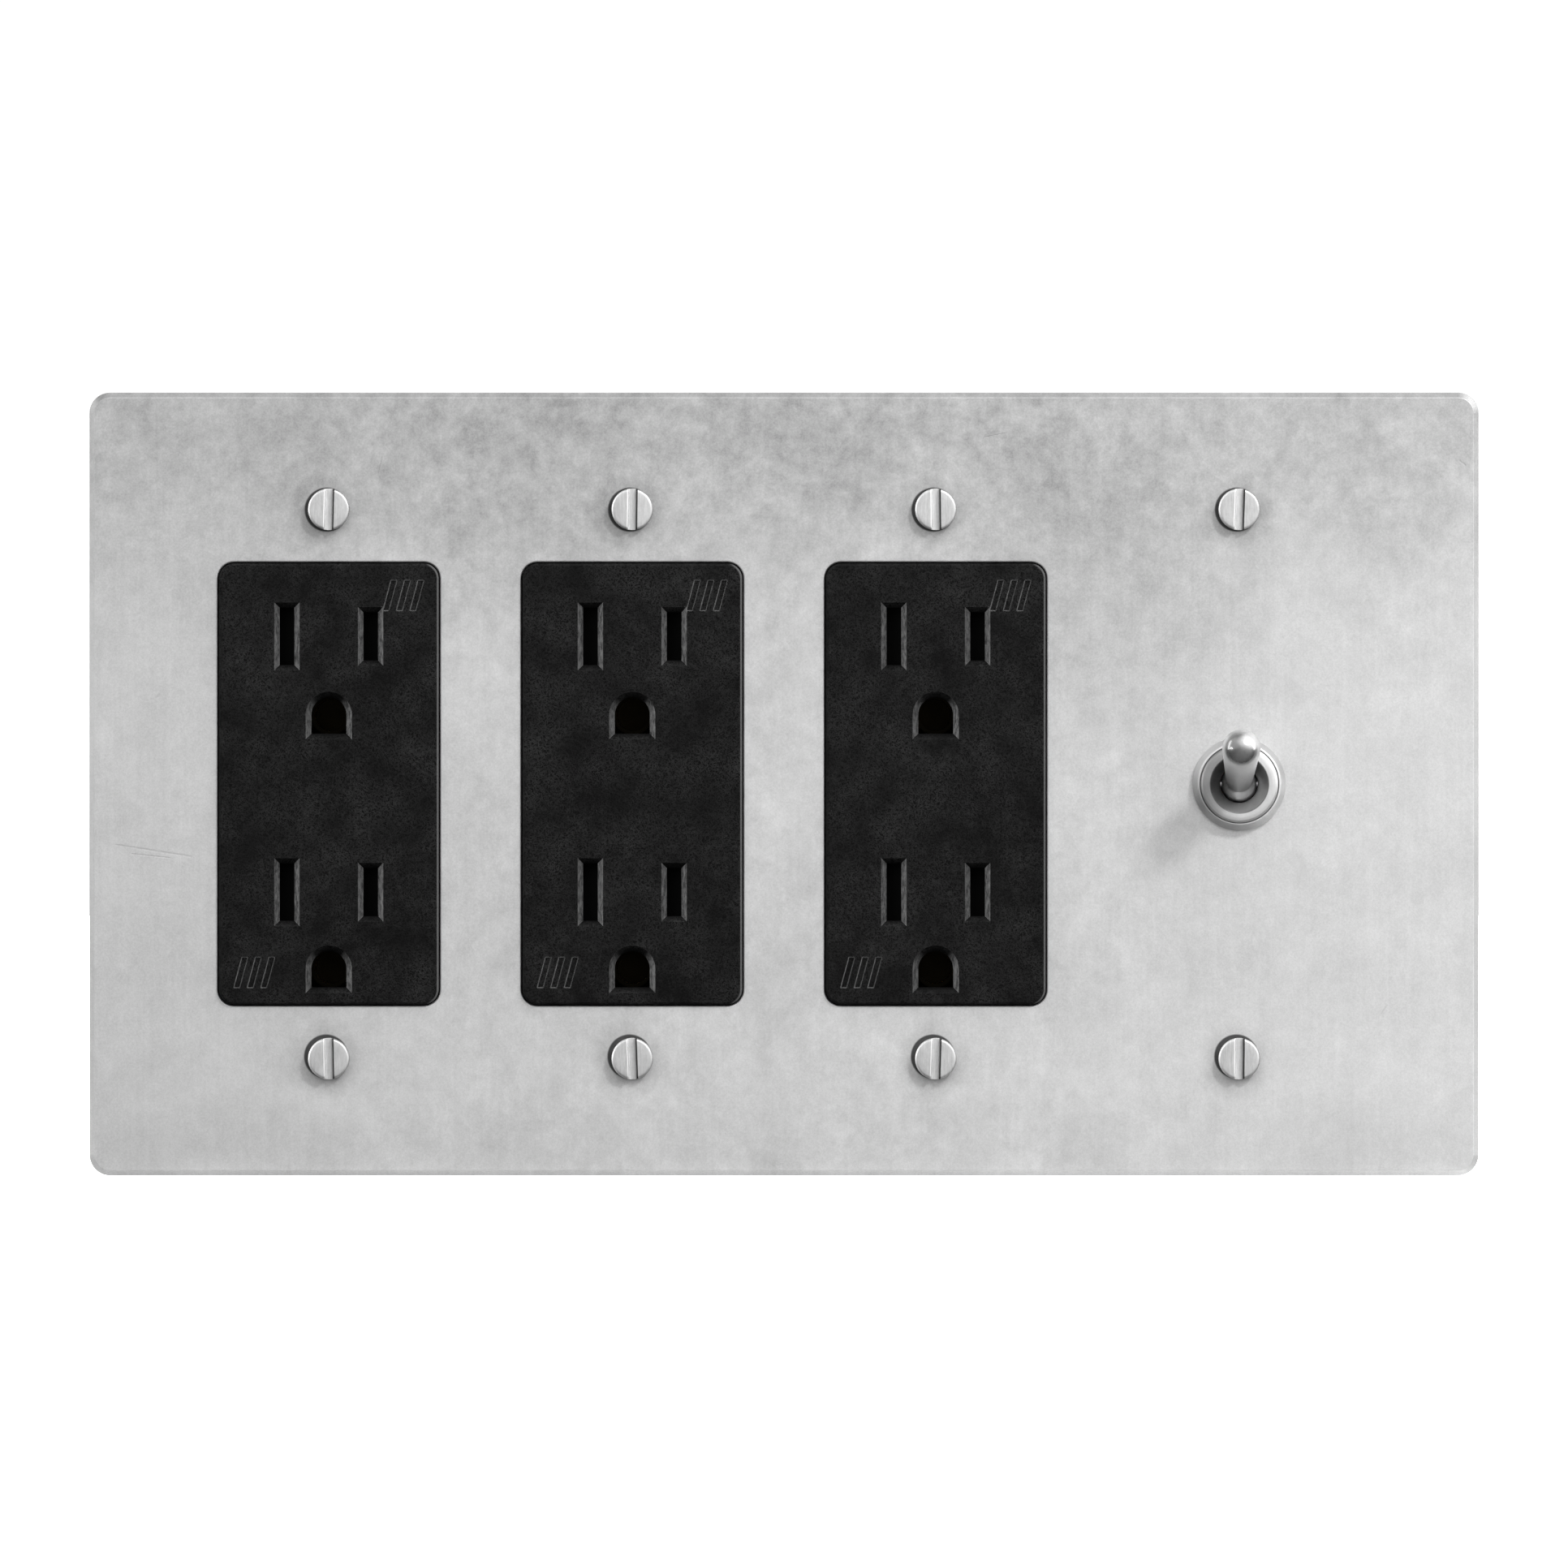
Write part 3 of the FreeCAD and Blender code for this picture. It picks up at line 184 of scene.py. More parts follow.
    def attr(self, name, out="Vector"):
        n = self.t.nodes.new("ShaderNodeAttribute")
        n.attribute_name = name
        return n.outputs[out]

    def normal(self):
        """The surface's own normal, in the row frame."""
        n = self.t.nodes.new("ShaderNodeNewGeometry")
        return n.outputs["Normal"]


MATS = {}


def made(name):
    m = Mat(name)
    MATS[name] = m.m
    return m


# ------------------------------------------------------------------ the cover's satin nickel

def segment(m, a, b, width):
    """1 near the line from a to b on the front face (x, z in mm), 0 elsewhere."""
    s = m.split()
    x, z = s[0], s[2]
    ax, az, bx, bz = [v * MM for v in (*a, *b)]
    dx, dz = bx - ax, bz - az
    ll = dx * dx + dz * dz
    px, pz = m.math("SUBTRACT", x, ax), m.math("SUBTRACT", z, az)
    t = m.math("DIVIDE", m.math("ADD", m.math("MULTIPLY", px, dx), m.math("MULTIPLY", pz, dz)), ll, clamp=True)
    ex = m.math("SUBTRACT", px, m.math("MULTIPLY", t, dx))
    ez = m.math("SUBTRACT", pz, m.math("MULTIPLY", t, dz))
    d = m.math("SQRT", m.math("ADD", m.math("MULTIPLY", ex, ex), m.math("MULTIPLY", ez, ez)))
    return m.ramp(d, 0.0, width * MM, 1.0, 0.0)


def satin_nickel():
    m = made("satin_nickel")
    s = m.split()
    x, y, z = s[0], s[1], s[2]
    clouds = m.noise(34, 5, 0.62, m.scale(1, 1, 1.15))
    patches = m.noise(105, 7, 0.70, m.scale(1, 1, 0.85), 0.7, w=3.1)
    mottle = m.noise(480, 4, 0.65, w=6.3)
    streak = m.noise(1.0, 4, 0.6, m.scale(1500, 300, 60))
    streak2 = m.noise(1.0, 3, 0.5, m.scale(420, 200, 16), w=7.7)
    grain = m.noise(4300, 3, 0.65)
    # slow change over the cover: paler to the right as painted light, darker along the top and a little along the foot
    side = m.ramp(x, -0.105, 0.105, 1.0, 1.10)
    middle = m.ramp(m.math("ABSOLUTE", m.math("ADD", x, 0.004)), 0.03, 0.095, 1.0, 0.0, True)
    top = m.ramp(m.math("ADD", z, m.math("MULTIPLY", m.math("SUBTRACT", clouds, 0.5), 0.045)), 0.012, 0.056, 0.0, 1.0, True)
    foot = m.ramp(m.math("ADD", z, m.math("MULTIPLY", m.math("SUBTRACT", clouds, 0.5), 0.018)), -0.043, -0.0575, 0.0, 1.0, True)
    f = m.math("MULTIPLY", side, m.math("SUBTRACT", 1.0, m.math("MULTIPLY", top, m.math("ADD", 0.222, m.math("MULTIPLY", middle, 0.06)))))
    f = m.math("MULTIPLY", f, m.math("SUBTRACT", 1.0, m.math("MULTIPLY", foot, m.ramp(x, -0.1, 0.1, 0.05, 0.02))))
    f = m.math("MULTIPLY", f, m.ramp(m.math("ADD", z, m.math("MULTIPLY", m.math("SUBTRACT", clouds, 0.5), 0.02)), -0.026, -0.050, 1.0, 1.080, True))
    cloud = m.vmath("LENGTH", m.vmath("MULTIPLY", m.vmath("SUBTRACT", m.co, (0.047, 0.0, 0.022)), (0.9, 0.0, 0.8)))
    f = m.math("MULTIPLY", f, m.math("SUBTRACT", 1.0, m.math("MULTIPLY", m.ramp(m.math("ADD", cloud, m.math("MULTIPLY", m.math("SUBTRACT", clouds, 0.5), 0.02)), 0.008, 0.030, 1.0, 0.0, True), 0.12)))
    # cloudy staining, strongest near the top
    amount = m.math("ADD", m.math("ADD", 0.15, m.math("MULTIPLY", middle, 0.09)), m.math("MULTIPLY", top, 0.17))
    f = m.math("ADD", f, m.math("MULTIPLY", m.math("SUBTRACT", clouds, 0.5), m.math("MULTIPLY", amount, 0.9)))
    f = m.math("ADD", f, m.math("MULTIPLY", m.math("SUBTRACT", patches, 0.5), m.math("MULTIPLY", amount, 1.9)))
    f = m.math("ADD", f, m.math("MULTIPLY", m.math("SUBTRACT", mottle, 0.5), m.math("MULTIPLY", amount, 1.4)))
    f = m.math("ADD", f, m.math("MULTIPLY", m.math("SUBTRACT", streak, 0.5), 0.11))
    f = m.math("ADD", f, m.math("MULTIPLY", m.math("SUBTRACT", streak2, 0.5), 0.05))
    f = m.math("ADD", f, m.math("MULTIPLY", m.math("SUBTRACT", grain, 0.5), 0.42))
    # painted shadow: a soft darker patch to the lower left of each screw head, and a darker painted shadow line close
    # against the left of each head
    flat = m.combine(x, 0.0, z)
    near = close = None
    for gx in GANG:
        for sz in (1, -1):
            d = m.vmath("DISTANCE", flat, ((gx - 0.75) * MM, 0, (SCREW_Z * sz - 0.45) * MM))
            near = d if near is None else m.math("MINIMUM", near, d)
            off = (-0.33, -0.04) if sz > 0 else (-0.42, 0.32)
            d = m.vmath("DISTANCE", flat, ((gx + off[0]) * MM, 0, (SCREW_Z * sz + off[1]) * MM))
            close = d if close is None else m.math("MINIMUM", close, d)
    ragged = m.math("ADD", near, m.math("MULTIPLY", m.math("SUBTRACT", patches, 0.5), 0.0045))
    painted_head_shadow = m.ramp(ragged, 0.0028, 0.0068, 1.0, 0.0, True)
    painted_crescent_shadow = m.ramp(close, 0.00322, 0.00348, 1.0, 0.0, True)
    f = m.math("MULTIPLY", f, m.math("SUBTRACT", 1.0, m.math("MULTIPLY", painted_head_shadow, 0.20)))
    f = m.math("MULTIPLY", f, m.math("SUBTRACT", 1.0, m.math("MULTIPLY", painted_crescent_shadow, 0.86)))
    # a few fine scratches and one pit
    marks = None
    for a, b, w in (((-101.4, -9.2), (-90.0, -11.0), 0.22), ((-99.0, -10.6), (-93.2, -11.2), 0.16), ((90.6, -34.8), (91.5, -33.6), 0.16),
                    ((-95.2, 13.2), (-94.9, 13.5), 0.3), ((-61.6, 47.2), (-61.0, 49.6), 0.12), ((30.2, 52.6), (33.8, 53.3), 0.1), ((102.6, 49.0), (103.4, 48.4), 0.22)):
        k = segment(m, a, b, w)
        marks = k if marks is None else m.math("MAXIMUM", marks, k)
    f = m.math("SUBTRACT", f, m.math("MULTIPLY", marks, 0.13))
    # the bevel round the cover is rubbed brighter in patches; below, it also gets painted shade and painted light by
    # the way it faces
    n = m.split(m.normal())
    front = m.math("ABSOLUTE", n[1])
    bevel = m.math("MULTIPLY", m.ramp(front, 0.95, 0.80, 0.0, 1.0), m.ramp(front, 0.25, 0.5, 0.0, 1.0))
    f = m.math("ADD", f, m.math("MULTIPLY", bevel, m.ramp(m.math("ADD", clouds, m.math("MULTIPLY", streak, 0.3)), 0.35, 0.85, -0.03, 0.09)))
    # painted shade where the bevel faces up, left and right; where it faces down it is painted a little darker on the
    # left and lighter on the right
    upward = m.math("MULTIPLY", m.ramp(n[2], 0.1, 0.6), 0.22)
    leftward = m.math("MULTIPLY", m.ramp(n[0], -0.1, -0.6), 0.17)
    rightward = m.math("MULTIPLY", m.ramp(n[0], 0.1, 0.6), 0.31)
    downward = m.math("MULTIPLY", m.ramp(n[2], -0.1, -0.6), m.ramp(x, -0.1, 0.1, 0.02, -0.14))
    level = m.math("SUBTRACT", 1.0, m.math("ADD", m.math("MAXIMUM", m.math("MAXIMUM", upward, leftward), rightward), downward))
    f = m.math("MULTIPLY", f, m.math("ADD", m.math("SUBTRACT", 1.0, bevel), m.math("MULTIPLY", bevel, level)))
    # sharp edges lightened: edge wear and a painted edge highlight
    f = m.math("ADD", f, m.math("MULTIPLY", m.edge(0.00022), 0.08))
    # painted light on the rounded edges of the three openings, set by the way they face: lightest where they face left,
    # less where they face up and right
    rim = None
    for gx in GANG[:3]:
        ex = m.math("SUBTRACT", m.math("ABSOLUTE", m.math("SUBTRACT", x, gx * MM)), 0.0168)
        ez = m.math("SUBTRACT", m.math("ABSOLUTE", z), 0.0336)
        d = m.math("ABSOLUTE", m.math("MAXIMUM", ex, ez))
        rim = d if rim is None else m.math("MINIMUM", rim, d)
    rim = m.math("MULTIPLY", m.ramp(rim, 0.0006, 0.0008, 1.0, 0.0), m.ramp(front, 0.985, 0.93, 0.0, 1.0))
    f = m.math("MULTIPLY", f, m.math("SUBTRACT", 1.0, m.math("MULTIPLY", rim, m.math("ADD", m.math("ADD", m.ramp(n[0], -0.08, -0.35, 0.0, -0.36), m.ramp(n[0], 0.08, 0.35, 0.0, -0.12)), m.ramp(n[2], 0.1, 0.4, 0.0, -0.15)))))
    v = m.math("MULTIPLY", f, 0.560)
    # seen from where the main light would glare off the front, the metal is held back
    seen_from = m.t.nodes.new("ShaderNodeNewGeometry").outputs["Incoming"]
    glare = m.math("MULTIPLY", m.ramp(m.vmath("DOT_PRODUCT", seen_from, (-0.483, -0.650, -0.587)), 0.73, 0.97, 0.0, 1.0, True), m.ramp(front, 0.8, 0.97))
    v = m.math("MULTIPLY", v, m.math("SUBTRACT", 1.0, m.math("MULTIPLY", glare, 0.50)))
    m.set("Base Color", m.grey(v))
    m.set("Metallic", 1.0)
    rough = m.math("ADD", 0.56, m.math("MULTIPLY", m.math("SUBTRACT", patches, 0.5), 0.16))
    rough = m.math("SUBTRACT", rough, m.math("MULTIPLY", bevel, 0.08))
    m.set("Roughness", rough)
    h = m.math("ADD", m.math("MULTIPLY", streak, 0.6), m.math("MULTIPLY", grain, 0.45))
    h = m.math("SUBTRACT", h, m.math("MULTIPLY", marks, 1.2))
    m.set("Normal", m.bump(h, 0.28, 0.00003, m.soft(0.00010)))
    return m


def turned_metal(name, base, rough, ring=0.5, stain=0.08, soft=0.00008, extra=None):
    """Turned metal, with fine rings about each piece's own axis. The 'axis_at' attribute holds the place relative to that axis."""
    m = made(name)
    at = m.attr("axis_at")
    la = m.split(at)
    r = m.vmath("LENGTH", m.vmath("MULTIPLY", at, (1.0, 0.0, 1.0)))
    rings = m.noise(1.0, 3, 0.6, m.combine(m.math("MULTIPLY", r, 5200), m.math("MULTIPLY", la[1], 2600), m.attr("seed", "Fac")))
    blot = m.noise(520, 5, 0.65)
    fine = m.noise(3200, 3, 0.6)
    v = m.math("ADD", 1.0, m.math("MULTIPLY", m.math("SUBTRACT", blot, 0.5), stain * 2.2))
    v = m.math("ADD", v, m.math("MULTIPLY", m.math("SUBTRACT", fine, 0.5), stain * 1.6))
    v = m.math("ADD", v, m.math("MULTIPLY", m.math("SUBTRACT", rings, 0.5), stain * ring * 2))
    # sharp edges lightened: edge wear and a painted edge highlight
    v = m.math("ADD", v, m.math("MULTIPLY", m.edge(soft * 2.2), 0.14))
    if extra:
        v = extra(m, v, la, r)
    m.set("Base Color", m.mix(1.0, base, m.grey(v), "MULTIPLY"))
    m.set("Metallic", 1.0)
    m.set("Roughness", m.math("ADD", rough, m.math("MULTIPLY", m.math("SUBTRACT", blot, 0.45), 0.22)))
    h = m.math("ADD", m.math("MULTIPLY", rings, ring), m.math("MULTIPLY", fine, 0.3))
    m.set("Normal", m.bump(h, 0.22, 0.00002, m.soft(soft)))
    return m


def screw_brushing_and_painted_light(m, v, la, r):
    """Brushed head, painted light on the slot's floor and left wall, and a dark line along the slot's right edge,
    partly oxide and partly painted shade.
    """
    brushed = m.noise(1.0, 3, 0.6, m.scale(3600, 600, 420))
    front = m.ramp(la[1], -0.0057, -0.0060, 0.0, 1.0)
    v = m.math("ADD", v, m.math("MULTIPLY", m.math("SUBTRACT", brushed, 0.5), 0.55))
    # painted light on the slot's left wall and floor, and a dark line at its right edge that is oxide with painted
    # shade
    right = m.ramp(m.math("ABSOLUTE", m.math("SUBTRACT", la[0], 0.00060)), 0.00017, 0.00023, 1.0, 0.0)
    left = m.ramp(m.math("ABSOLUTE", m.math("ADD", la[0], 0.00066)), 0.00010, 0.00016, 1.0, 0.0)
    floor = m.ramp(m.math("ABSOLUTE", m.math("ADD", la[0], 0.00004)), 0.00056, 0.00062, 1.0, 0.0)
    v = m.math("MULTIPLY", v, m.math("ADD", 1.0, m.math("MULTIPLY", m.math("MULTIPLY", floor, front), m.ramp(la[0], -0.00038, -0.00048, 0.38, 0.70))))
    lines = m.math("SUBTRACT", m.math("MULTIPLY", right, 0.95), m.math("MULTIPLY", left, 0.75))
    v = m.math("MULTIPLY", v, m.math("SUBTRACT", 1.0, m.math("MULTIPLY", lines, front)))
    # the turned-off edge of the head: painted shade where it faces up and right, painted highlight where it faces left
    n = m.normal()
    v = m.math("MULTIPLY", v, m.ramp(m.vmath("DOT_PRODUCT", n, (0.7, 0.0, 0.7)), 0.15, 0.6, 1.0, 0.55))
    return m.math("MULTIPLY", v, m.ramp(m.vmath("DOT_PRODUCT", n, (-0.9, 0.0, 0.3)), 0.15, 0.5, 1.0, 1.6))


def bushing_painted_light_and_dark_line(m, v, la, r):
    """Painted shade in the mouth, deepening towards its throat and lighter towards the lower right, a painted highlight
    pattern of the turning that leaves the front face darker on its left, and a dark line round the mouth's edge.
    """
    # painted shade in the mouth, deepening towards the throat and lighter towards the lower right
    inside = m.math("MULTIPLY", m.ramp(r, 0.00436, 0.00428, 0.0, 1.0), m.ramp(la[1], -0.0010, -0.0018, 0.0, 1.0))
    depth = m.ramp(la[1], -0.0076, -0.0052, 0.68, 0.40)
    swing = m.math("ADD", m.math("MULTIPLY", la[0], 0.75), m.math("MULTIPLY", la[2], -0.65))
    swing = m.ramp(m.math("DIVIDE", swing, m.math("MAXIMUM", r, 0.0005)), -0.6, 1.0, 0.55, 1.45, True)
    v = m.math("MULTIPLY", v, m.math("ADD", m.math("SUBTRACT", 1.0, inside), m.math("MULTIPLY", inside, m.math("MULTIPLY", depth, swing))))
    # painted highlight pattern of the turning: the front face is darker on its left
    face = m.math("SUBTRACT", 1.0, inside)
    sector = m.ramp(m.math("DIVIDE", m.math("ADD", la[0], m.math("MULTIPLY", la[2], -0.35)), m.math("MAXIMUM", r, 0.0005)), -1.0, 0.5, 0.52, 1.05, True)
    v = m.math("MULTIPLY", v, m.math("ADD", m.math("SUBTRACT", 1.0, face), m.math("MULTIPLY", face, sector)))
    lines = m.ramp(m.math("ABSOLUTE", m.math("SUBTRACT", r, 0.00442)), 0.00006, 0.00013, 1.0, 0.0)
    return m.math("MULTIPLY", v, m.math("SUBTRACT", 1.0, m.math("MULTIPLY", m.math("MULTIPLY", lines, m.ramp(la[1], -0.0073, -0.0075, 0.0, 1.0)), 0.60)))


def ring_painted_light_and_dark_line(m, v, la, r):
    """Painted shade on the lower left of the ring and where it faces up and right, painted light where it faces down
    and right, and a dark line against the bushing.
    """
    sector = m.ramp(m.math("DIVIDE", m.math("ADD", la[0], m.math("MULTIPLY", la[2], 0.9)), m.math("MAXIMUM", r, 0.0005)), -1.3, -0.1, 0.58, 1.0, True)
    inner_dark_line = m.ramp(r, 0.00598, 0.00610, 0.45, 1.0)
    n = m.normal()
    # painted shade where the ring faces up and right, painted light where it faces down and right
    v = m.math("MULTIPLY", v, m.ramp(m.vmath("DOT_PRODUCT", n, (0.75, 0.0, 0.65)), 0.15, 0.5, 1.0, 0.70, True))
    v = m.math("MULTIPLY", v, m.ramp(m.vmath("DOT_PRODUCT", n, (0.35, 0.0, -0.93)), 0.10, 0.45, 1.0, 1.40, True))
    return m.math("MULTIPLY", v, m.math("MULTIPLY", sector, inner_dark_line))


def _combine(self, a, b, c):
    n = self.t.nodes.new("ShaderNodeCombineXYZ")
    for i, v in enumerate((a, b, c)):
        self.put(n.inputs[i], v)
    return n.outputs[0]


Mat.combine = _combine


def black_plastic():
    m = made("black_face")
    # a fine tangle of short raised lines, like a leather grain, with smoother and rougher patches
    warp = m.noise(900, 2, 0.5)
    line = m.noise(1900, 2, 0.45, w=1.0, distort=0.8)
    line2 = m.noise(2900, 1, 0.5, w=4.0, distort=0.5)
    ridge = m.ramp(m.math("ABSOLUTE", m.math("SUBTRACT", line, 0.5)), 0.0, 0.075, 1.0, 0.0)
    ridge2 = m.ramp(m.math("ABSOLUTE", m.math("SUBTRACT", line2, 0.5)), 0.0, 0.09, 1.0, 0.0)
    tex = m.math("MAXIMUM", ridge, m.math("MULTIPLY", ridge2, 0.7))
    patch = m.noise(70, 5, 0.62)
    amount = m.ramp(m.noise(150, 4, 0.6, w=9.0), 0.35, 0.68, 0.30, 1.25)
    n = m.split(m.normal())
    # worn, paler side bevels of the slots, with painted light making the ones that face left paler than those that face
    # right; the upper and lower ones stay dark
    sideways = m.ramp(m.math("ABSOLUTE", n[0]), 0.45, 0.7)
    worn = m.noise(1.0, 4, 0.75, m.scale(3400, 1500, 800))
    s = m.split()
    across = m.math("SUBTRACT", m.math("WRAP", s[0], PITCH * MM, 0.0), PITCH / 2 * MM)
    qx = m.math("MAXIMUM", m.math("SUBTRACT", m.math("ABSOLUTE", across), 0.014375), 0.0)
    qz = m.math("MAXIMUM", m.math("SUBTRACT", m.math("ABSOLUTE", s[2]), 0.031175), 0.0)
    outline = m.ramp(m.math("SQRT", m.math("ADD", m.math("MULTIPLY", qx, qx), m.math("MULTIPLY", qz, qz))), 0.00150, 0.00165, 0.0, 1.0)
    inner = m.math("MULTIPLY", m.math("MULTIPLY", sideways, m.math("SUBTRACT", 1.0, outline)), m.ramp(m.math("ABSOLUTE", n[1]), 0.30, 0.6))
    turned = m.ramp(n[0], 0.2, -0.2, 0.42, 1.0)
    pale = m.math("MULTIPLY", m.math("MULTIPLY", inner, turned), m.ramp(worn, 0.38, 0.64, 0.30, 1.45))
    v = m.math("ADD", 0.0004, m.math("MULTIPLY", m.math("SUBTRACT", patch, 0.5), 0.0060))
    v = m.math("ADD", v, m.math("MULTIPLY", m.math("MULTIPLY", tex, amount), 0.0190))
    v = m.math("ADD", v, m.math("MULTIPLY", m.math("SUBTRACT", warp, 0.5), 0.003))
    v = m.math("ADD", v, m.math("MULTIPLY", pale, 0.105))
    # painted highlight: a grey line along the face's rounded outer edge where it faces right, and along its left and
    # right edges
    outer = m.math("MULTIPLY", outline, m.ramp(s[1], -0.0052, -0.0056, 0.0, 1.0))
    rounded = m.math("MULTIPLY", m.ramp(m.math("ABSOLUTE", n[1]), 0.97, 0.90, 0.0, 1.0), m.ramp(n[0], 0.12, 0.4, 0.0, 1.0))
    v = m.math("ADD", v, m.math("MULTIPLY", m.math("MULTIPLY", rounded, m.math("SUBTRACT", 1.0, inner)), m.math("MULTIPLY", outer, 0.07)))
    v = m.math("ADD", v, m.math("MULTIPLY", m.math("MULTIPLY", m.edge(0.00016), m.ramp(m.math("ABSOLUTE", n[2]), 0.35, 0.6, 1.0, 0.15)), 0.030))
    # the engraved strokes have pale worn edges
    stroke_x = m.math("MULTIPLY", across, m.math("SIGN", s[2]))
    in_x = m.math("MULTIPLY", m.math("GREATER_THAN", stroke_x, 0.0079), m.math("LESS_THAN", stroke_x, 0.0149))
    in_z = m.math("MULTIPLY", m.math("GREATER_THAN", m.math("ABSOLUTE", s[2]), 0.0260), m.math("LESS_THAN", m.math("ABSOLUTE", s[2]), 0.0313))
    v = m.math("ADD", v, m.math("MULTIPLY", m.math("MULTIPLY", m.edge(0.00020, 0.01, 0.12), m.ramp(worn, 0.35, 0.6, 0.5, 1.2)), m.math("MULTIPLY", m.math("MULTIPLY", in_x, in_z), 0.13)))
    # painted shade: the insides of the openings and the top and bottom bevels are darkened, as they hardly return any
    # light
    deep = m.ramp(s[1], -0.00555, -0.00500, 0.0, 1.0)
    level = m.ramp(m.math("ABSOLUTE", n[2]), 0.45, 0.65)
    v = m.math("MULTIPLY", v, m.math("SUBTRACT", 1.0, m.math("MULTIPLY", m.math("MULTIPLY", deep, level), 0.8)))
    m.set("Base Color", m.grey(m.math("MAXIMUM", v, 0.0012)))
    m.set("Roughness", m.math("ADD", 0.56, m.math("MULTIPLY", m.math("SUBTRACT", patch, 0.5), 0.2)))
    m.set("Specular IOR Level", m.math("MULTIPLY", m.math("ADD", 0.07, m.math("MULTIPLY", pale, 0.5)), m.ramp(m.math("ABSOLUTE", n[1]), 0.25, 0.6, 0.0, 1.0)))
    m.set("Normal", m.bump(m.math("MULTIPLY", tex, amount), 0.5, 0.00005, m.soft(0.00009)))
    return m


def moulded(name, base, rough, spec, speck=0.3, scale=1400):
    """Matt moulded plastic with a fine spark-eroded texture and faint flow marks."""
    m = made(name)
    tex = m.noise(scale, 3, 0.6)
    flow = m.noise(1.0, 4, 0.6, m.scale(60, 40, 180))
    dust = m.noise(240, 6, 0.7, w=2.0)
    v = m.math("ADD", 1.0, m.math("MULTIPLY", m.math("SUBTRACT", tex, 0.5), speck))
    v = m.math("ADD", v, m.math("MULTIPLY", m.math("SUBTRACT", flow, 0.5), speck))
    # sharp edges lightened: edge wear and a painted edge highlight
    v = m.math("ADD", v, m.math("MULTIPLY", m.edge(0.0002), 0.55))
    v = m.math("ADD", v, m.ramp(dust, 0.58, 0.8, 0.0, 0.35))
    m.set("Base Color", m.mix(1.0, base, m.grey(v), "MULTIPLY"))
    m.set("Roughness", m.math("ADD", rough, m.math("MULTIPLY", m.math("SUBTRACT", dust, 0.5), 0.18)))
    m.set("Specular IOR Level", spec)
    m.set("Normal", m.bump(tex, 0.35, 0.00004, m.soft(0.00012)))
    return m


def strip_metal(name, base, rough, spangle=0.10, metallic=1.0, scale=330, tint=None, painted_front_shade=False):
    """Plated or rolled strip: crystal spangle, rolling lines, dull patches and bright sheared edges, which also carry a
    painted edge highlight.
    """
    m = made(name)
    cell = m.t.nodes.new("ShaderNodeTexVoronoi")
    m.put(cell.inputs["Vector"], m.co)
    cell.inputs["Scale"].default_value = scale
    tone = m.split(cell.outputs["Color"])[0]
    roll = m.noise(1.0, 3, 0.6, m.scale(900, 900, 60))
    dull = m.noise(150, 6, 0.68)
    v = m.math("ADD", 1.0, m.math("MULTIPLY", m.math("SUBTRACT", tone, 0.5), spangle))
    v = m.math("ADD", v, m.math("MULTIPLY", m.math("SUBTRACT", roll, 0.5), 0.10))
    v = m.math("ADD", v, m.math("MULTIPLY", m.math("SUBTRACT", dull, 0.5), 0.28))
    # sharp edges lightened: bright sheared edges and a painted edge highlight
    v = m.math("ADD", v, m.math("MULTIPLY", m.edge(0.00018), 0.18))
    col = m.mix(1.0, base, m.grey(v), "MULTIPLY")
    if tint:
        col = m.mix(m.ramp(dull, 0.5, 0.75, 0.0, 0.55), col, tint)
    if painted_front_shade:
        # painted shade: the front-facing faces, at the bottom of the sockets, are made almost black, as they see almost
        # no light
        col = m.mix(m.ramp(m.split(m.normal())[1], -0.5, -0.9), col, (0.006, 0.005, 0.003))
    m.set("Base Color", col)
    m.set("Metallic", metallic)
    m.set("Roughness", m.math("ADD", rough, m.math("MULTIPLY", m.math("SUBTRACT", dull, 0.45), 0.35)))
    m.set("Normal", m.bump(m.math("ADD", m.math("MULTIPLY", roll, 0.6), m.math("MULTIPLY", tone, 0.2)), 0.2, 0.00003, m.soft(0.00010)))
    return m


def fibre():
    m = made("fibre")
    f = m.noise(1.0, 4, 0.7, m.scale(500, 3000, 2600))
    g = m.noise(1900, 3, 0.6)
    m.set("Base Color", m.mix(f, (0.16, 0.055, 0.03), (0.34, 0.14, 0.08)))
    m.set("Roughness", m.ramp(g, 0.3, 0.7, 0.62, 0.85))
    m.set("Normal", m.bump(m.math("ADD", f, g), 0.4, 0.00005, m.soft(0.0001)))
    return m


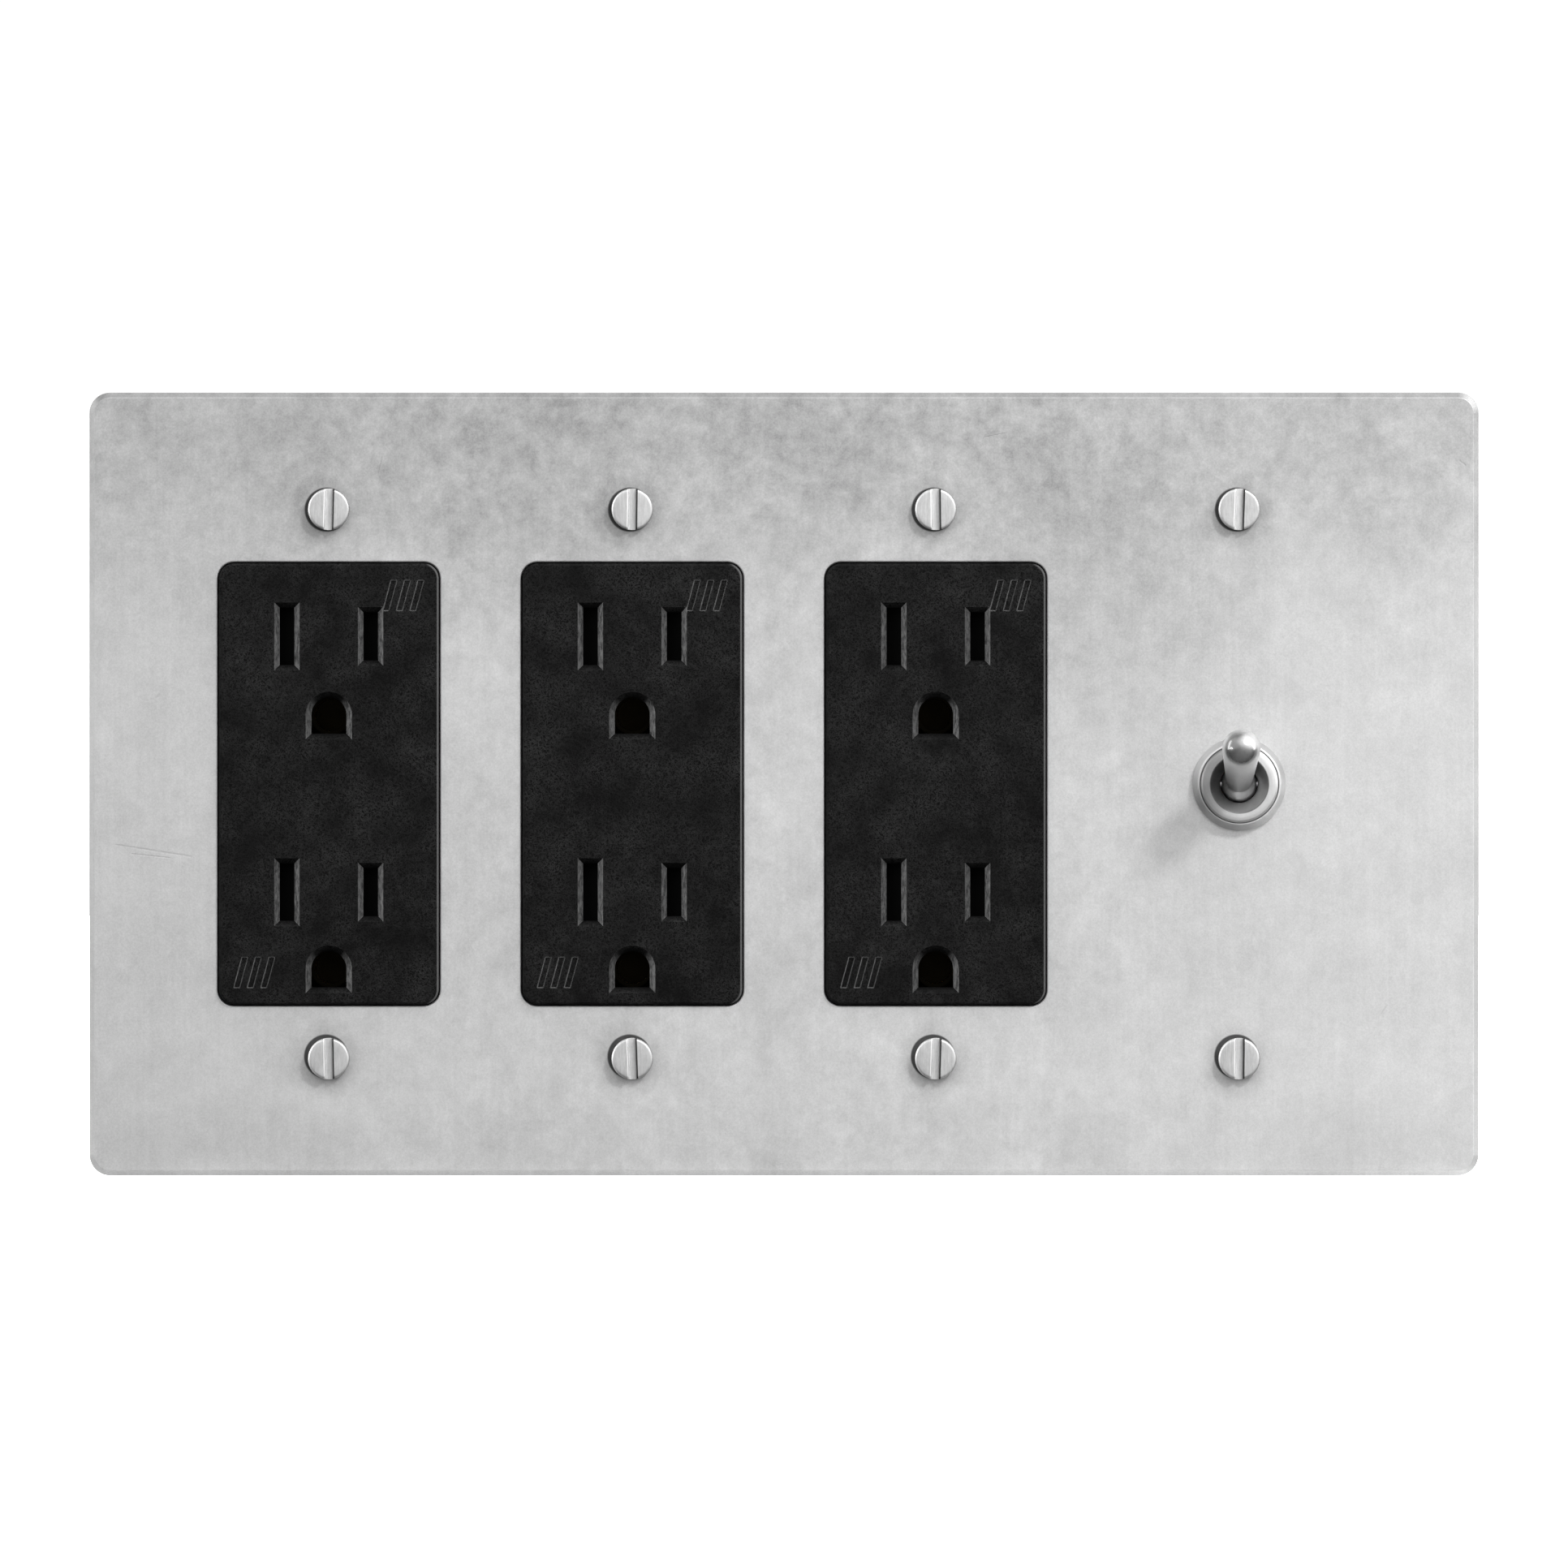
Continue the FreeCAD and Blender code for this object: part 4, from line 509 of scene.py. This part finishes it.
def polished():
    """The toggle lever: mirror-like on its round end, satin and duller down the shaft, with painted shade darkening the
    shaft towards its root, painted light on the ball, and a painted reflection: a bright rim round its outline and a
    darker middle on the round end.
    """
    m = made("polished_nickel")
    along = m.vmath("DOT_PRODUCT", m.vmath("SUBTRACT", m.co, tuple(PIVOT * MM)), tuple(LEVER_DIR))
    tip = m.ramp(along, 0.0150, 0.0176, 0.0, 1.0, True)
    # painted shade: the shaft is darkened towards its root, and the ball is painted lighter
    root = m.math("MAXIMUM", m.ramp(along, 0.0026, 0.0140, 0.40, 1.08), m.ramp(along, 0.0021, 0.0025, 0.85, 0.0))
    blot = m.noise(420, 5, 0.65)
    fine = m.noise(3600, 3, 0.6)
    drawn = m.noise(1.0, 3, 0.6, m.scale(2600, 350, 350))
    v = m.math("ADD", 0.76, m.math("MULTIPLY", m.math("SUBTRACT", blot, 0.5), 0.16))
    v = m.math("ADD", v, m.math("MULTIPLY", m.math("SUBTRACT", drawn, 0.5), 0.10))
    v = m.math("ADD", v, m.math("MULTIPLY", m.math("SUBTRACT", fine, 0.5), 0.14))
    v = m.math("MULTIPLY", v, root)
    # painted reflection: a bright rim round the outline, weaker where the surface faces the light, and a darker middle
    # on the round end, darkest away from the light
    face = m.t.nodes.new("ShaderNodeLayerWeight")
    face.inputs["Blend"].default_value = 0.5
    rim = m.ramp(face.outputs["Facing"], 0.28, 0.62, 0.0, 1.0, True)
    lit = m.ramp(m.vmath("DOT_PRODUCT", m.normal(), (0.55, 0.0, 0.83)), -0.12, 0.40, 0.0, 1.0, True)
    lit = m.math("ADD", lit, m.math("MULTIPLY", m.math("SUBTRACT", m.noise(520, 3, 0.6, w=2.4), 0.5), 1.0))
    v = m.math("ADD", m.math("MULTIPLY", v, m.math("SUBTRACT", 1.0, m.math("MULTIPLY", tip, m.ramp(lit, 0.0, 1.0, 0.66, 0.50)))), m.math("MULTIPLY", m.math("MULTIPLY", rim, m.ramp(lit, 0.2, 1.0, 1.0, 0.25)), m.math("ADD", 0.20, m.math("MULTIPLY", tip, 0.42))))
    m.set("Base Color", m.grey(v))
    m.set("Metallic", 1.0)
    r = m.math("ADD", m.math("SUBTRACT", 0.36, m.math("MULTIPLY", tip, 0.12)), m.math("MULTIPLY", m.math("MULTIPLY", tip, rim), 0.36))
    m.set("Roughness", m.math("ADD", r, m.math("MULTIPLY", m.math("SUBTRACT", blot, 0.5), 0.12)))
    m.set("Normal", m.bump(m.math("ADD", fine, drawn), 0.12, 0.00002))
    return m


satin_nickel()
turned_metal("screw_nickel", (0.585, 0.585, 0.585), 0.46, 0.5, 0.10, extra=screw_brushing_and_painted_light)
turned_metal("bushing_nickel", (0.59, 0.59, 0.59), 0.47, 0.7, 0.08, extra=bushing_painted_light_and_dark_line)
turned_metal("ring_nickel", (0.67, 0.67, 0.67), 0.50, 0.7, 0.08, extra=ring_painted_light_and_dark_line)
polished()
black_plastic()
moulded("dark_body", (0.030, 0.030, 0.031), 0.50, 0.35)
# painted shade: the shutters are made near black so that the insides of the slots, and the rings closing the gaps, read
# as shaded
moulded("shutter_plastic", (0.0035, 0.0035, 0.0035), 0.55, 0.05)
moulded("case_phenolic", (0.045, 0.030, 0.022), 0.42, 0.4, 0.5, 900)
strip_metal("galvanised", (0.56, 0.57, 0.58), 0.36, 0.16)
strip_metal("brass_strip", (0.70, 0.47, 0.19), 0.30, 0.04, tint=(0.34, 0.20, 0.08), painted_front_shade=True)
strip_metal("brass_screw", (0.72, 0.50, 0.21), 0.30, 0.03, tint=(0.40, 0.24, 0.09))
strip_metal("nickel_screw", (0.63, 0.62, 0.60), 0.28, 0.03)
strip_metal("green_screw", (0.030, 0.170, 0.060), 0.34, 0.04, metallic=0.75, tint=(0.02, 0.09, 0.035))
strip_metal("spring_steel", (0.42, 0.42, 0.43), 0.30, 0.02)
strip_metal("contact_copper", (0.66, 0.36, 0.22), 0.30, 0.03, tint=(0.30, 0.14, 0.08))
fibre()

SLOT_OF = {s["node"]: s["material_slot"] for s in frame["record"]["subparts"]}
LOOK = {"polished_nickel": "ring_nickel"}
for name, o in nodes.items():
    want = SLOT_OF[name]
    want = LOOK.get(want, want)
    o.data.materials.clear()
    o.data.materials.append(MATS[want])


# ------------------------------------------------------------------ mesh helpers

def mesh(name, verts, faces, smooth=True, scale=MM):
    me = bpy.data.meshes.new(name)
    me.from_pydata([tuple(Vector(v) * scale) for v in verts], [], faces)
    me.validate()
    bm = bmesh.new()
    bm.from_mesh(me)
    bmesh.ops.recalc_face_normals(bm, faces=bm.faces)
    bm.to_mesh(me)
    bm.free()
    for p in me.polygons:
        p.use_smooth = smooth
    o = bpy.data.objects.new(name, me)
    bpy.context.scene.collection.objects.link(o)
    return o


def lathe(rings, n=64, closed=False):
    """Verts and faces of an outline turned about the Y axis. Each ring is (y, radius or radius(angle)).
    An open outline is capped at a point where its radius is 0; a closed one joins its last ring to its first."""
    verts, faces, rows = [], [], []
    for y, r in rings:
        if not callable(r) and abs(r) < 1e-9:
            rows.append([len(verts)] * n)
            verts.append((0, y, 0))
            continue
        row = []
        for j in range(n):
            a = 2 * math.pi * j / n
            rr = r(a) if callable(r) else r
            row.append(len(verts))
            verts.append((rr * math.cos(a), y, rr * math.sin(a)))
        rows.append(row)
    pairs = list(zip(rows, rows[1:])) + ([(rows[-1], rows[0])] if closed else [])
    for p, q in pairs:
        for j in range(n):
            k = (j + 1) % n
            f = [p[j], p[k], q[k], q[j]]
            f = [v for i, v in enumerate(f) if v not in f[:i]]
            if len(f) > 2:
                faces.append(f)
    return verts, faces


def arc(cy, cr, rad, a0, a1, n):
    """Points (y, r) on a circle of this radius about (cy, cr), from angle a0 to a1 in degrees (0 is outwards, 90 is +Y)."""
    out = []
    for i in range(n + 1):
        a = math.radians(a0 + (a1 - a0) * i / n)
        out.append((cy + rad * math.sin(a), cr + rad * math.cos(a)))
    return out


def thread(y0, y1, r_out, depth, pitch, rows_per=10, fade=0.8):
    """Rings of an external screw thread. It runs out smoothly at both ends."""
    n = max(2, int(round((y1 - y0) / pitch * rows_per)))
    rings = []
    for i in range(n + 1):
        y = y0 + (y1 - y0) * i / n
        cut = min(1.0, (y - y0) / fade, (y1 - y) / fade)
        cut = max(0.0, cut)

        def radius(a, y=y, cut=cut):
            t = (y / pitch - a / (2 * math.pi)) % 1.0
            tri = abs(2 * t - 1)
            tri = min(1.0, max(0.0, (tri - 0.12) / 0.72))
            return r_out - depth * cut * (1 - tri)
        rings.append((y, radius))
    return rings


def transform(verts, matrix):
    return [tuple(matrix @ Vector(v)) for v in verts]


def finish_piece(o, body, material, cad_nodes, axes=None):
    """Give a new piece its material, its own-axis attribute and its body, and hide the CAD nodes it stands for."""
    o.data.materials.clear()
    o.data.materials.append(MATS[material])
    if axes:
        places, seeds = [], []
        for v in o.data.vertices:
            best = min(range(len(axes)), key=lambda k: (axes[k] @ v.co).x ** 2 + (axes[k] @ v.co).z ** 2)
            places += list(axes[best] @ v.co)
            seeds.append(best * 3.7)
        o.data.attributes.new("axis_at", "FLOAT_VECTOR", "POINT")
        o.data.attributes.new("seed", "FLOAT", "POINT")
        o.data.attributes["axis_at"].data.foreach_set("vector", places)
        o.data.attributes["seed"].data.foreach_set("value", seeds)
    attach(o, body)
    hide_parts(*cad_nodes)
    return o


def boolean(o, cutters, op="DIFFERENCE"):
    """Cut o with each cutter, exactly, and drop the cutters."""
    for c in cutters:
        md = o.modifiers.new("cut", "BOOLEAN")
        md.operation = op
        md.solver = "EXACT"
        md.object = c
    dg = bpy.context.evaluated_depsgraph_get()
    new = bpy.data.meshes.new_from_object(o.evaluated_get(dg))
    o.modifiers.clear()
    o.data = new
    for c in cutters:
        bpy.data.objects.remove(c)
    return o


def block(x0, x1, y0, y1, z0, z1):
    v = [(x, y, z) for x in (x0, x1) for y in (y0, y1) for z in (z0, z1)]
    f = [(0, 1, 3, 2), (4, 6, 7, 5), (0, 4, 5, 1), (2, 3, 7, 6), (0, 2, 6, 4), (1, 5, 7, 3)]
    return mesh("cutter", v, f, False)


def auto_smooth(o, angle=32):
    """Smooth faces, with edges sharper than this kept sharp."""
    me = o.data
    bm = bmesh.new()
    bm.from_mesh(me)
    lim = math.radians(angle)
    for f in bm.faces:
        f.smooth = True
    for e in bm.edges:
        e.smooth = not (len(e.link_faces) != 2 or e.calc_face_angle(0) > lim)
    bm.to_mesh(me)
    bm.free()
    return o


def repeat(name, master, matrices):
    """Copies of a master mesh (in metres) joined into one object."""
    me = bpy.data.meshes.new(name)
    bm = bmesh.new()
    for mx in matrices:
        tmp = master.data.copy()
        tmp.transform(mx)
        bm.from_mesh(tmp)
        bpy.data.meshes.remove(tmp)
    bm.to_mesh(me)
    bm.free()
    o = bpy.data.objects.new(name, me)
    bpy.context.scene.collection.objects.link(o)
    bpy.data.objects.remove(master)
    return o


def at(x, y, z, rot=None):
    t = Matrix.Translation(Vector((x, y, z)) * MM)
    return t @ rot.to_4x4() if rot is not None else t


# ------------------------------------------------------------------ cover screws, with cut driver slots and rolled threads

def cover_screw():
    rings = [(-6.7, 0.0), (-6.7, 1.2), (-6.7, 2.0), (-6.7, 2.72)]
    rings += [(-6.7 + 0.33 * (1 - math.cos(math.radians(a))) + 0.02 * a / 90, 2.80 + 0.35 * math.sin(math.radians(a))) for a in (15, 35, 55, 75, 90)]
    rings += [(-5.6, 3.15), (-5.02, 3.15), (-5.0, 3.12), (-5.0, 1.7), (-4.85, 1.5), (-4.7, 1.45), (-1.5, 1.45), (1.2, 1.45)]
    rings += thread(1.35, 19.8, 1.75, 0.42, 0.794)
    rings += [(20.1, 1.45), (20.38, 1.15), (20.4, 1.1), (20.4, 0.0)]
    v, f = lathe(rings, 56)
    o = mesh("screw_master", v, f)
    # the slot is a little wider at its mouth
    cut = [(x, y, z) for z in (-4, 4) for x, y in ((-0.54, -5.8), (0.54, -5.8), (0.66, -6.7), (0.72, -8), (-0.72, -8), (-0.66, -6.7))]
    c = mesh("cutter", cut, [(0, 1, 2, 3, 4, 5), (11, 10, 9, 8, 7, 6)] + [(i, i + 6, (i + 1) % 6 + 6, (i + 1) % 6) for i in range(6)], False)
    boolean(o, [c])
    return auto_smooth(o, 40)


tilts = [1.5, -1.2, 0.8, -2.0, -0.6, 1.8, 2.0, 0.5]
places = [(gx, sz * SCREW_Z) for gx in GANG for sz in (1, -1)]
mats = [at(x, 0, z, Matrix.Rotation(math.radians(tilts[i]), 3, "Y")) for i, (x, z) in enumerate(places)]
o = repeat("cover_screws", cover_screw(), mats)
finish_piece(o, "cover", "screw_nickel", ["plate_screws"], [m.inverted() for m in mats])


# ------------------------------------------------------------------ toggle lever, bushing, ring and nuts

def toggle_lever():
    tip = [(-17.3 - 2.89 * math.cos(math.radians(a)), 2.9 * math.sin(math.radians(a))) for a in range(0, 91, 6)]
    tip[0] = (-20.19, 0.0)
    rings = tip
    # the shaft tapers straight from the round end to its root, with a small fillet on to the ball
    for k in range(1, 12):
        t = k / 12
        rings.append((-17.3 + 14.9 * t, 2.9 - 0.865 * t))
    rings += [(-2.25, 2.02), (-2.02, 2.03)]
    rings += [(2.75 * math.sin(math.radians(a)), 2.75 * math.cos(math.radians(a))) for a in range(-40, 51, 6)]
    rings += [(2.35, 1.70), (4.0, 1.70), (6.0, 1.70), (8.35, 1.70), (8.5, 1.55), (8.5, 1.0), (3.2, 1.0), (3.2, 0.0)]
    v, f = lathe(rings, 72)
    o = mesh("bat_lever", v, f)
    n = 24
    cv, cf = lathe([(-4, 0), (-4, 0.65), (4, 0.65), (4, 0)], n)
    c = mesh("cutter", [(y, -x, z) for x, y, z in cv], cf)
    boolean(o, [c])
    auto_smooth(o, 45)
    o.data.transform(Matrix.Translation(PIVOT * MM) @ Matrix.Rotation(-TILT, 4, "X"))
    return o


o = toggle_lever()
finish_piece(o, "lever", "polished_nickel", ["toggle_lever"])

TO = Matrix.Translation(Vector((TX, 0, 0)) * MM)


def toggle_bushing():
    rings = [(-7.6, 4.40), (-7.6, 4.9), (-7.6, 5.50), (-7.56, 5.60), (-7.35, 5.82), (-7.25, 5.88)]
    rings += thread(-7.2, 1.8, 5.9, 0.40, 0.794, 10, 0.5)
    rings += [(2.0, 5.85), (2.0, 4.98), (3.0, 4.98), (3.03, 5.3), (3.09, 5.2), (3.09, 4.25), (3.05, 4.18), (-1.5, 2.85), (-4.9, 2.85)]
    rings += [(-5.05, 2.88), (-5.25, 2.98), (-5.42, 3.1), (-6.6, 3.78), (-7.42, 4.26), (-7.54, 4.33)]
    v, f = lathe(rings, 96, closed=True)
    o = mesh("threaded_bushing", v, f)
    cv, cf = lathe([(-8, 0), (-8, 0.62), (8, 0.62), (8, 0)], 24)
    c = mesh("cutter", [(y, -x - 3.9, z) for x, y, z in cv], cf)
    boolean(o, [c])
    auto_smooth(o, 40)
    o.data.transform(TO)
    return o


o = toggle_bushing()
finish_piece(o, "cover", "bushing_nickel", ["toggle_bushing"], [TO.inverted()])


def dress_ring():
    rings = [(-5.0, 5.97), (-5.0, 6.5), (-5.0, 6.95), (-5.03, 7.02), (-5.1, 7.05), (-5.62, 7.05), (-5.72, 7.03), (-5.82, 6.98)]
    rings += [(-6.5, 6.62), (-7.02, 6.36), (-7.14, 6.27), (-7.2, 6.14), (-7.2, 6.04), (-7.17, 5.98), (-7.1, 5.96)]
    v, f = lathe(rings, 96, closed=True)
    o = mesh("conical_ring", v, f)
    auto_smooth(o, 38)
    o.data.transform(TO)
    return o


o = dress_ring()
finish_piece(o, "cover", "ring_nickel", ["toggle_dress_ring"], [TO.inverted()])


def hex_nut(name, lo, hi, turn, node):
    """A hexagon nut with its corners turned off at 30 degrees."""
    flats, n = 7.0, 96
    corner = flats / math.cos(math.radians(30))
    high = hi - lo
    cham = min(0.30, high * 0.22)

    def side(a):
        b = (a + math.radians(turn)) % math.radians(60)
        return flats / math.cos(abs(b - math.radians(30)))

    def cap(level):
        return lambda a: min(side(a), flats - 0.02 + level * (corner - flats + 0.02))
    bore = 5.96
    rings = [(lo, bore + 0.12), (lo, 6.5), (lo, cap(0.0)), (lo + cham * 0.5, cap(0.5)), (lo + cham, cap(1.0)),
             (hi - cham, cap(1.0)), (hi - cham * 0.5, cap(0.5)), (hi, cap(0.0)), (hi, 6.5), (hi, bore + 0.12), (hi - 0.12, bore), (lo + 0.12, bore)]
    v, f = lathe(rings, n, closed=True)
    o = mesh(name, v, f)
    auto_smooth(o, 20)
    o.data.transform(TO)
    finish_piece(o, "cover", "galvanised", [node])


hex_nut("front_hex_nut", -2.95, -2.0, 10, "toggle_face_nut")
hex_nut("back_hex_nut", 0.0, 1.95, 0, "toggle_rear_nut")


# ------------------------------------------------------------------ near-black rings that close the gap round each face, standing in for the shade there: painted shade

def rounded(half_x, half_z, radius, n=8):
    """Points (x, z) round a rectangle with round corners."""
    out = []
    for k, (sx, sz) in enumerate(((1, 1), (-1, 1), (-1, -1), (1, -1))):
        for i in range(n + 1):
            a = math.radians(90 * k + 90 * i / n)
            out.append((sx * (half_x - radius) + radius * math.cos(a), sz * (half_z - radius) + radius * math.sin(a)))
    return out


for side, gx in zip(("left", "centre", "right"), GANG):
    inner, outer = rounded(16.665, 33.465, 2.3), rounded(17.9, 34.7, 3.4)
    n = len(inner)
    verts = [(gx + x, y, z) for y, loop in ((-2.7, inner), (-2.7, outer), (-2.1, outer), (-2.1, inner)) for x, z in loop]
    faces = [(r * n + i, r * n + (i + 1) % n, (r + 1) % 4 * n + (i + 1) % n, (r + 1) % 4 * n + i) for r in range(4) for i in range(n)]
    o = mesh("gap_shade_ring_" + side, verts, faces)
    auto_smooth(o, 40)
    o.data.materials.clear()
    o.data.materials.append(MATS["shutter_plastic"])
    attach(o, "cover")


# ------------------------------------------------------------------ springs: wire coils with closed ends

def coil(name, length, r, wire, turns, matrix, body, node):
    """A compression spring along +X from the origin, with dead end turns."""
    pts, per = [], 20
    total = turns + 2
    for i in range(total * per + 1):
        t = i / per
        if t < 1:
            x = wire * (1 + 2.05 * t * 0.9)
        elif t > total - 1:
            x = length - wire * (1 + 2.05 * (total - t) * 0.9)
        else:
            a0, a1 = wire * (1 + 2.05 * 0.9), length - wire * (1 + 2.05 * 0.9)
            x = a0 + (a1 - a0) * (t - 1) / (total - 2)
        a = 2 * math.pi * t
        pts.append(Vector((x, r * math.cos(a), r * math.sin(a))))
    verts, faces, m = [], [], 8
    for i, p in enumerate(pts):
        d = (pts[min(i + 1, len(pts) - 1)] - pts[max(i - 1, 0)]).normalized()
        out = Vector((0, p.y, p.z)).normalized()
        up = d.cross(out).normalized()
        for j in range(m):
            b = 2 * math.pi * j / m
            verts.append(p + out * (wire * math.cos(b)) + up * (wire * math.sin(b)))
    for i in range(len(pts) - 1):
        for j in range(m):
            k = (j + 1) % m
            faces.append((i * m + j, i * m + k, (i + 1) * m + k, (i + 1) * m + j))
    faces.append(tuple(range(m)))
    faces.append(tuple((len(pts) - 1) * m + j for j in range(m)))
    o = mesh(name, verts, faces)
    o.data.transform(matrix)
    finish_piece(o, body, "spring_steel", [node])
    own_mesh(o)
    return o


for side, gx in zip(("left", "centre", "right"), GANG):
    for level, z in (("upper", 22.4), ("lower", -16.4)):
        coil("return_coil_%s_%s" % (side, level), 5.98, 0.72, 0.125, 8, at(gx + 7.98, -2.65, z), "cover",
             "shutter_spring_%s_%s" % (side, level))
tail = -LEVER_DIR
mx = Matrix.Translation((PIVOT + tail * 3.25) * MM) @ Vector((1, 0, 0)).rotation_difference(tail).to_matrix().to_4x4()
coil("plunger_coil", 3.1, 0.72, 0.15, 3, mx, "lever", "plunger_spring")


# ------------------------------------------------------------------ stage, lights and camera

floor_z = -0.0600
me = bpy.data.meshes.new("floor")
me.from_pydata([(-6, -6, floor_z), (6, -6, floor_z), (6, 6, floor_z), (-6, 6, floor_z)], [], [(0, 1, 2, 3)])
floor = bpy.data.objects.new("floor", me)
bpy.context.scene.collection.objects.link(floor)
fm = Mat("floor")
fm.set("Roughness", 0.9)
fm.set("Specular IOR Level", 0.0)
fm.set("Emission Color", (1, 1, 1))
# the camera sees a lit white floor; the object is lit by a dimmer one
ray = fm.t.nodes.new("ShaderNodeLightPath")
seen_it = ray.outputs["Is Camera Ray"]
close_by = fm.ramp(fm.math("ABSOLUTE", fm.math("ADD", fm.split()[1], 0.0028)), 0.0034, 0.0060, 1.0, 0.0, True)
# in front it also brightens with distance, so that its far edge melts into the studio in the object's reflections
fs = fm.split()
away = fm.vmath("LENGTH", fm.vmath("MULTIPLY", fm.co, (1.0, 1.0, 0.0)))
ahead = fm.ramp(fm.math("DIVIDE", fs[1], fm.math("MAXIMUM", away, 0.001)), -0.1, -0.6, 0.0, 1.0, True)
rightish = fm.ramp(fm.math("DIVIDE", fs[0], fm.math("MAXIMUM", away, 0.001)), -0.7, 0.5, 0.35, 1.0, True)
far_glow = fm.math("MULTIPLY", fm.math("MULTIPLY", ahead, rightish), fm.math("MULTIPLY", fm.math("DIVIDE", away, fm.math("ADD", away, 0.22)), 0.80))
fm.set("Emission Strength", fm.math("MAXIMUM", fm.math("MULTIPLY", seen_it, 0.85), fm.math("MAXIMUM", fm.math("MULTIPLY", close_by, 0.16), far_glow)))
fm.set("Base Color", fm.grey(fm.math("MAXIMUM", fm.math("MULTIPLY", seen_it, 0.93), fm.ramp(close_by, 0, 1, 0.09, 0.55))))
# the floor is clear from below, so the object can be seen from under it
clear = fm.t.nodes.new("ShaderNodeBsdfTransparent")
geo = fm.t.nodes.new("ShaderNodeNewGeometry")
pick = fm.t.nodes.new("ShaderNodeMixShader")
fm.t.links.new(geo.outputs["Backfacing"], pick.inputs[0])
fm.t.links.new(fm.p.outputs[0], pick.inputs[1])
fm.t.links.new(clear.outputs[0], pick.inputs[2])
fm.t.links.new(pick.outputs[0], fm.out.inputs[0])
me.materials.append(fm.m)

world = bpy.data.worlds.new("studio")
bpy.context.scene.world = world
world.use_nodes = True
wt = world.node_tree
wt.nodes.clear()
wo = wt.nodes.new("ShaderNodeOutputWorld")
wm = wt.nodes.new("ShaderNodeMixShader")
seen = wt.nodes.new("ShaderNodeBackground")
seen.inputs[0].default_value = (1, 1, 1, 1)
seen.inputs[1].default_value = 1.05
around = wt.nodes.new("ShaderNodeBackground")
around.inputs[0].default_value = (1, 1, 1, 1)
where = wt.nodes.new("ShaderNodeTexCoord")


def lobe(direction, start, full, height):
    """A soft patch of light, from nothing where the cosine to its middle is start to its full height at full."""
    dot = wt.nodes.new("ShaderNodeVectorMath")
    dot.operation = "DOT_PRODUCT"
    wt.links.new(where.outputs["Generated"], dot.inputs[0])
    dot.inputs[1].default_value = Vector(direction).normalized()
    r = wt.nodes.new("ShaderNodeMapRange")
    r.interpolation_type = "SMOOTHSTEP"
    wt.links.new(dot.outputs["Value"], r.inputs["Value"])
    for k, v in (("From Min", start), ("From Max", full), ("To Min", 0.0), ("To Max", height)):
        r.inputs[k].default_value = v
    return r.outputs["Result"]


def total(values):
    out = values[0]
    for v in values[1:]:
        n = wt.nodes.new("ShaderNodeMath")
        n.operation = "ADD"
        wt.links.new(out, n.inputs[0])
        if isinstance(v, float):
            n.inputs[1].default_value = v
        else:
            wt.links.new(v, n.inputs[1])
        out = n.outputs[0]
    return out


wt.links.new(total([lobe((0.50, -0.62, 0.60), 0.52, 0.93, 1.28), lobe((0.0, -0.25, 1.0), 0.3, 0.95, 0.20), lobe((0.75, -0.12, 0.65), 0.60, 0.95, 0.95), lobe((-0.80, -0.60, 0.22), 0.45, 0.95, 0.6), lobe((0.15, 1.0, 0.1), 0.0, 0.8, 1.15), 0.24]), around.inputs[1])
path = wt.nodes.new("ShaderNodeLightPath")
wt.links.new(path.outputs["Is Camera Ray"], wm.inputs[0])
wt.links.new(around.outputs[0], wm.inputs[1])
wt.links.new(seen.outputs[0], wm.inputs[2])
wt.links.new(wm.outputs[0], wo.inputs[0])


def softbox(name, place, aim, width, height, watts):
    l = bpy.data.lights.new(name, "AREA")
    l.shape = "RECTANGLE"
    l.size, l.size_y = width, height
    l.energy = watts
    o = bpy.data.objects.new(name, l)
    o.location = place
    o.rotation_mode = "QUATERNION"
    o.rotation_quaternion = (Vector(aim) - Vector(place)).to_track_quat("-Z", "Y")
    bpy.context.scene.collection.objects.link(o)
    return o


softbox("key", (0.69, -0.93, 0.84), (0.0, 0, 0), 0.16, 0.16, 10.5)
softbox("right_strip", (1.0, -0.12, 0.15), (0, 0, 0), 0.25, 1.2, 3.2)
softbox("left_strip", (-1.0, -0.12, 0.15), (0, 0, 0), 0.20, 1.2, 2.8)
softbox("left_window", (-0.92, -0.42, 0.03), (0.069, 0, 0), 0.05, 0.09, 0.5)
softbox("left_window_2", (-0.80, -0.56, 0.02), (0.069, 0, 0), 0.04, 0.06, 0.25)

cam = bpy.data.cameras.new("camera")
cam.sensor_width = 36.0
eye = 3.0
# 8.12 image pixels per mm on the cover's front face, at an image width of 1932 pixels
wide = 1932 / 8.12 * MM
cam.lens = 36.0 * (eye - 0.005) / wide
camera = bpy.data.objects.new("camera", cam)
camera.location = (0.0, -eye, 0.0)
camera.rotation_mode = "QUATERNION"
camera.rotation_quaternion = Vector((0, 1, 0)).to_track_quat("-Z", "Y")
cam.clip_start, cam.clip_end = 0.05, 30
bpy.context.scene.collection.objects.link(camera)
bpy.context.scene.camera = camera
bpy.context.scene.view_settings.view_transform = "Standard"
bpy.context.scene.view_settings.look = "None"
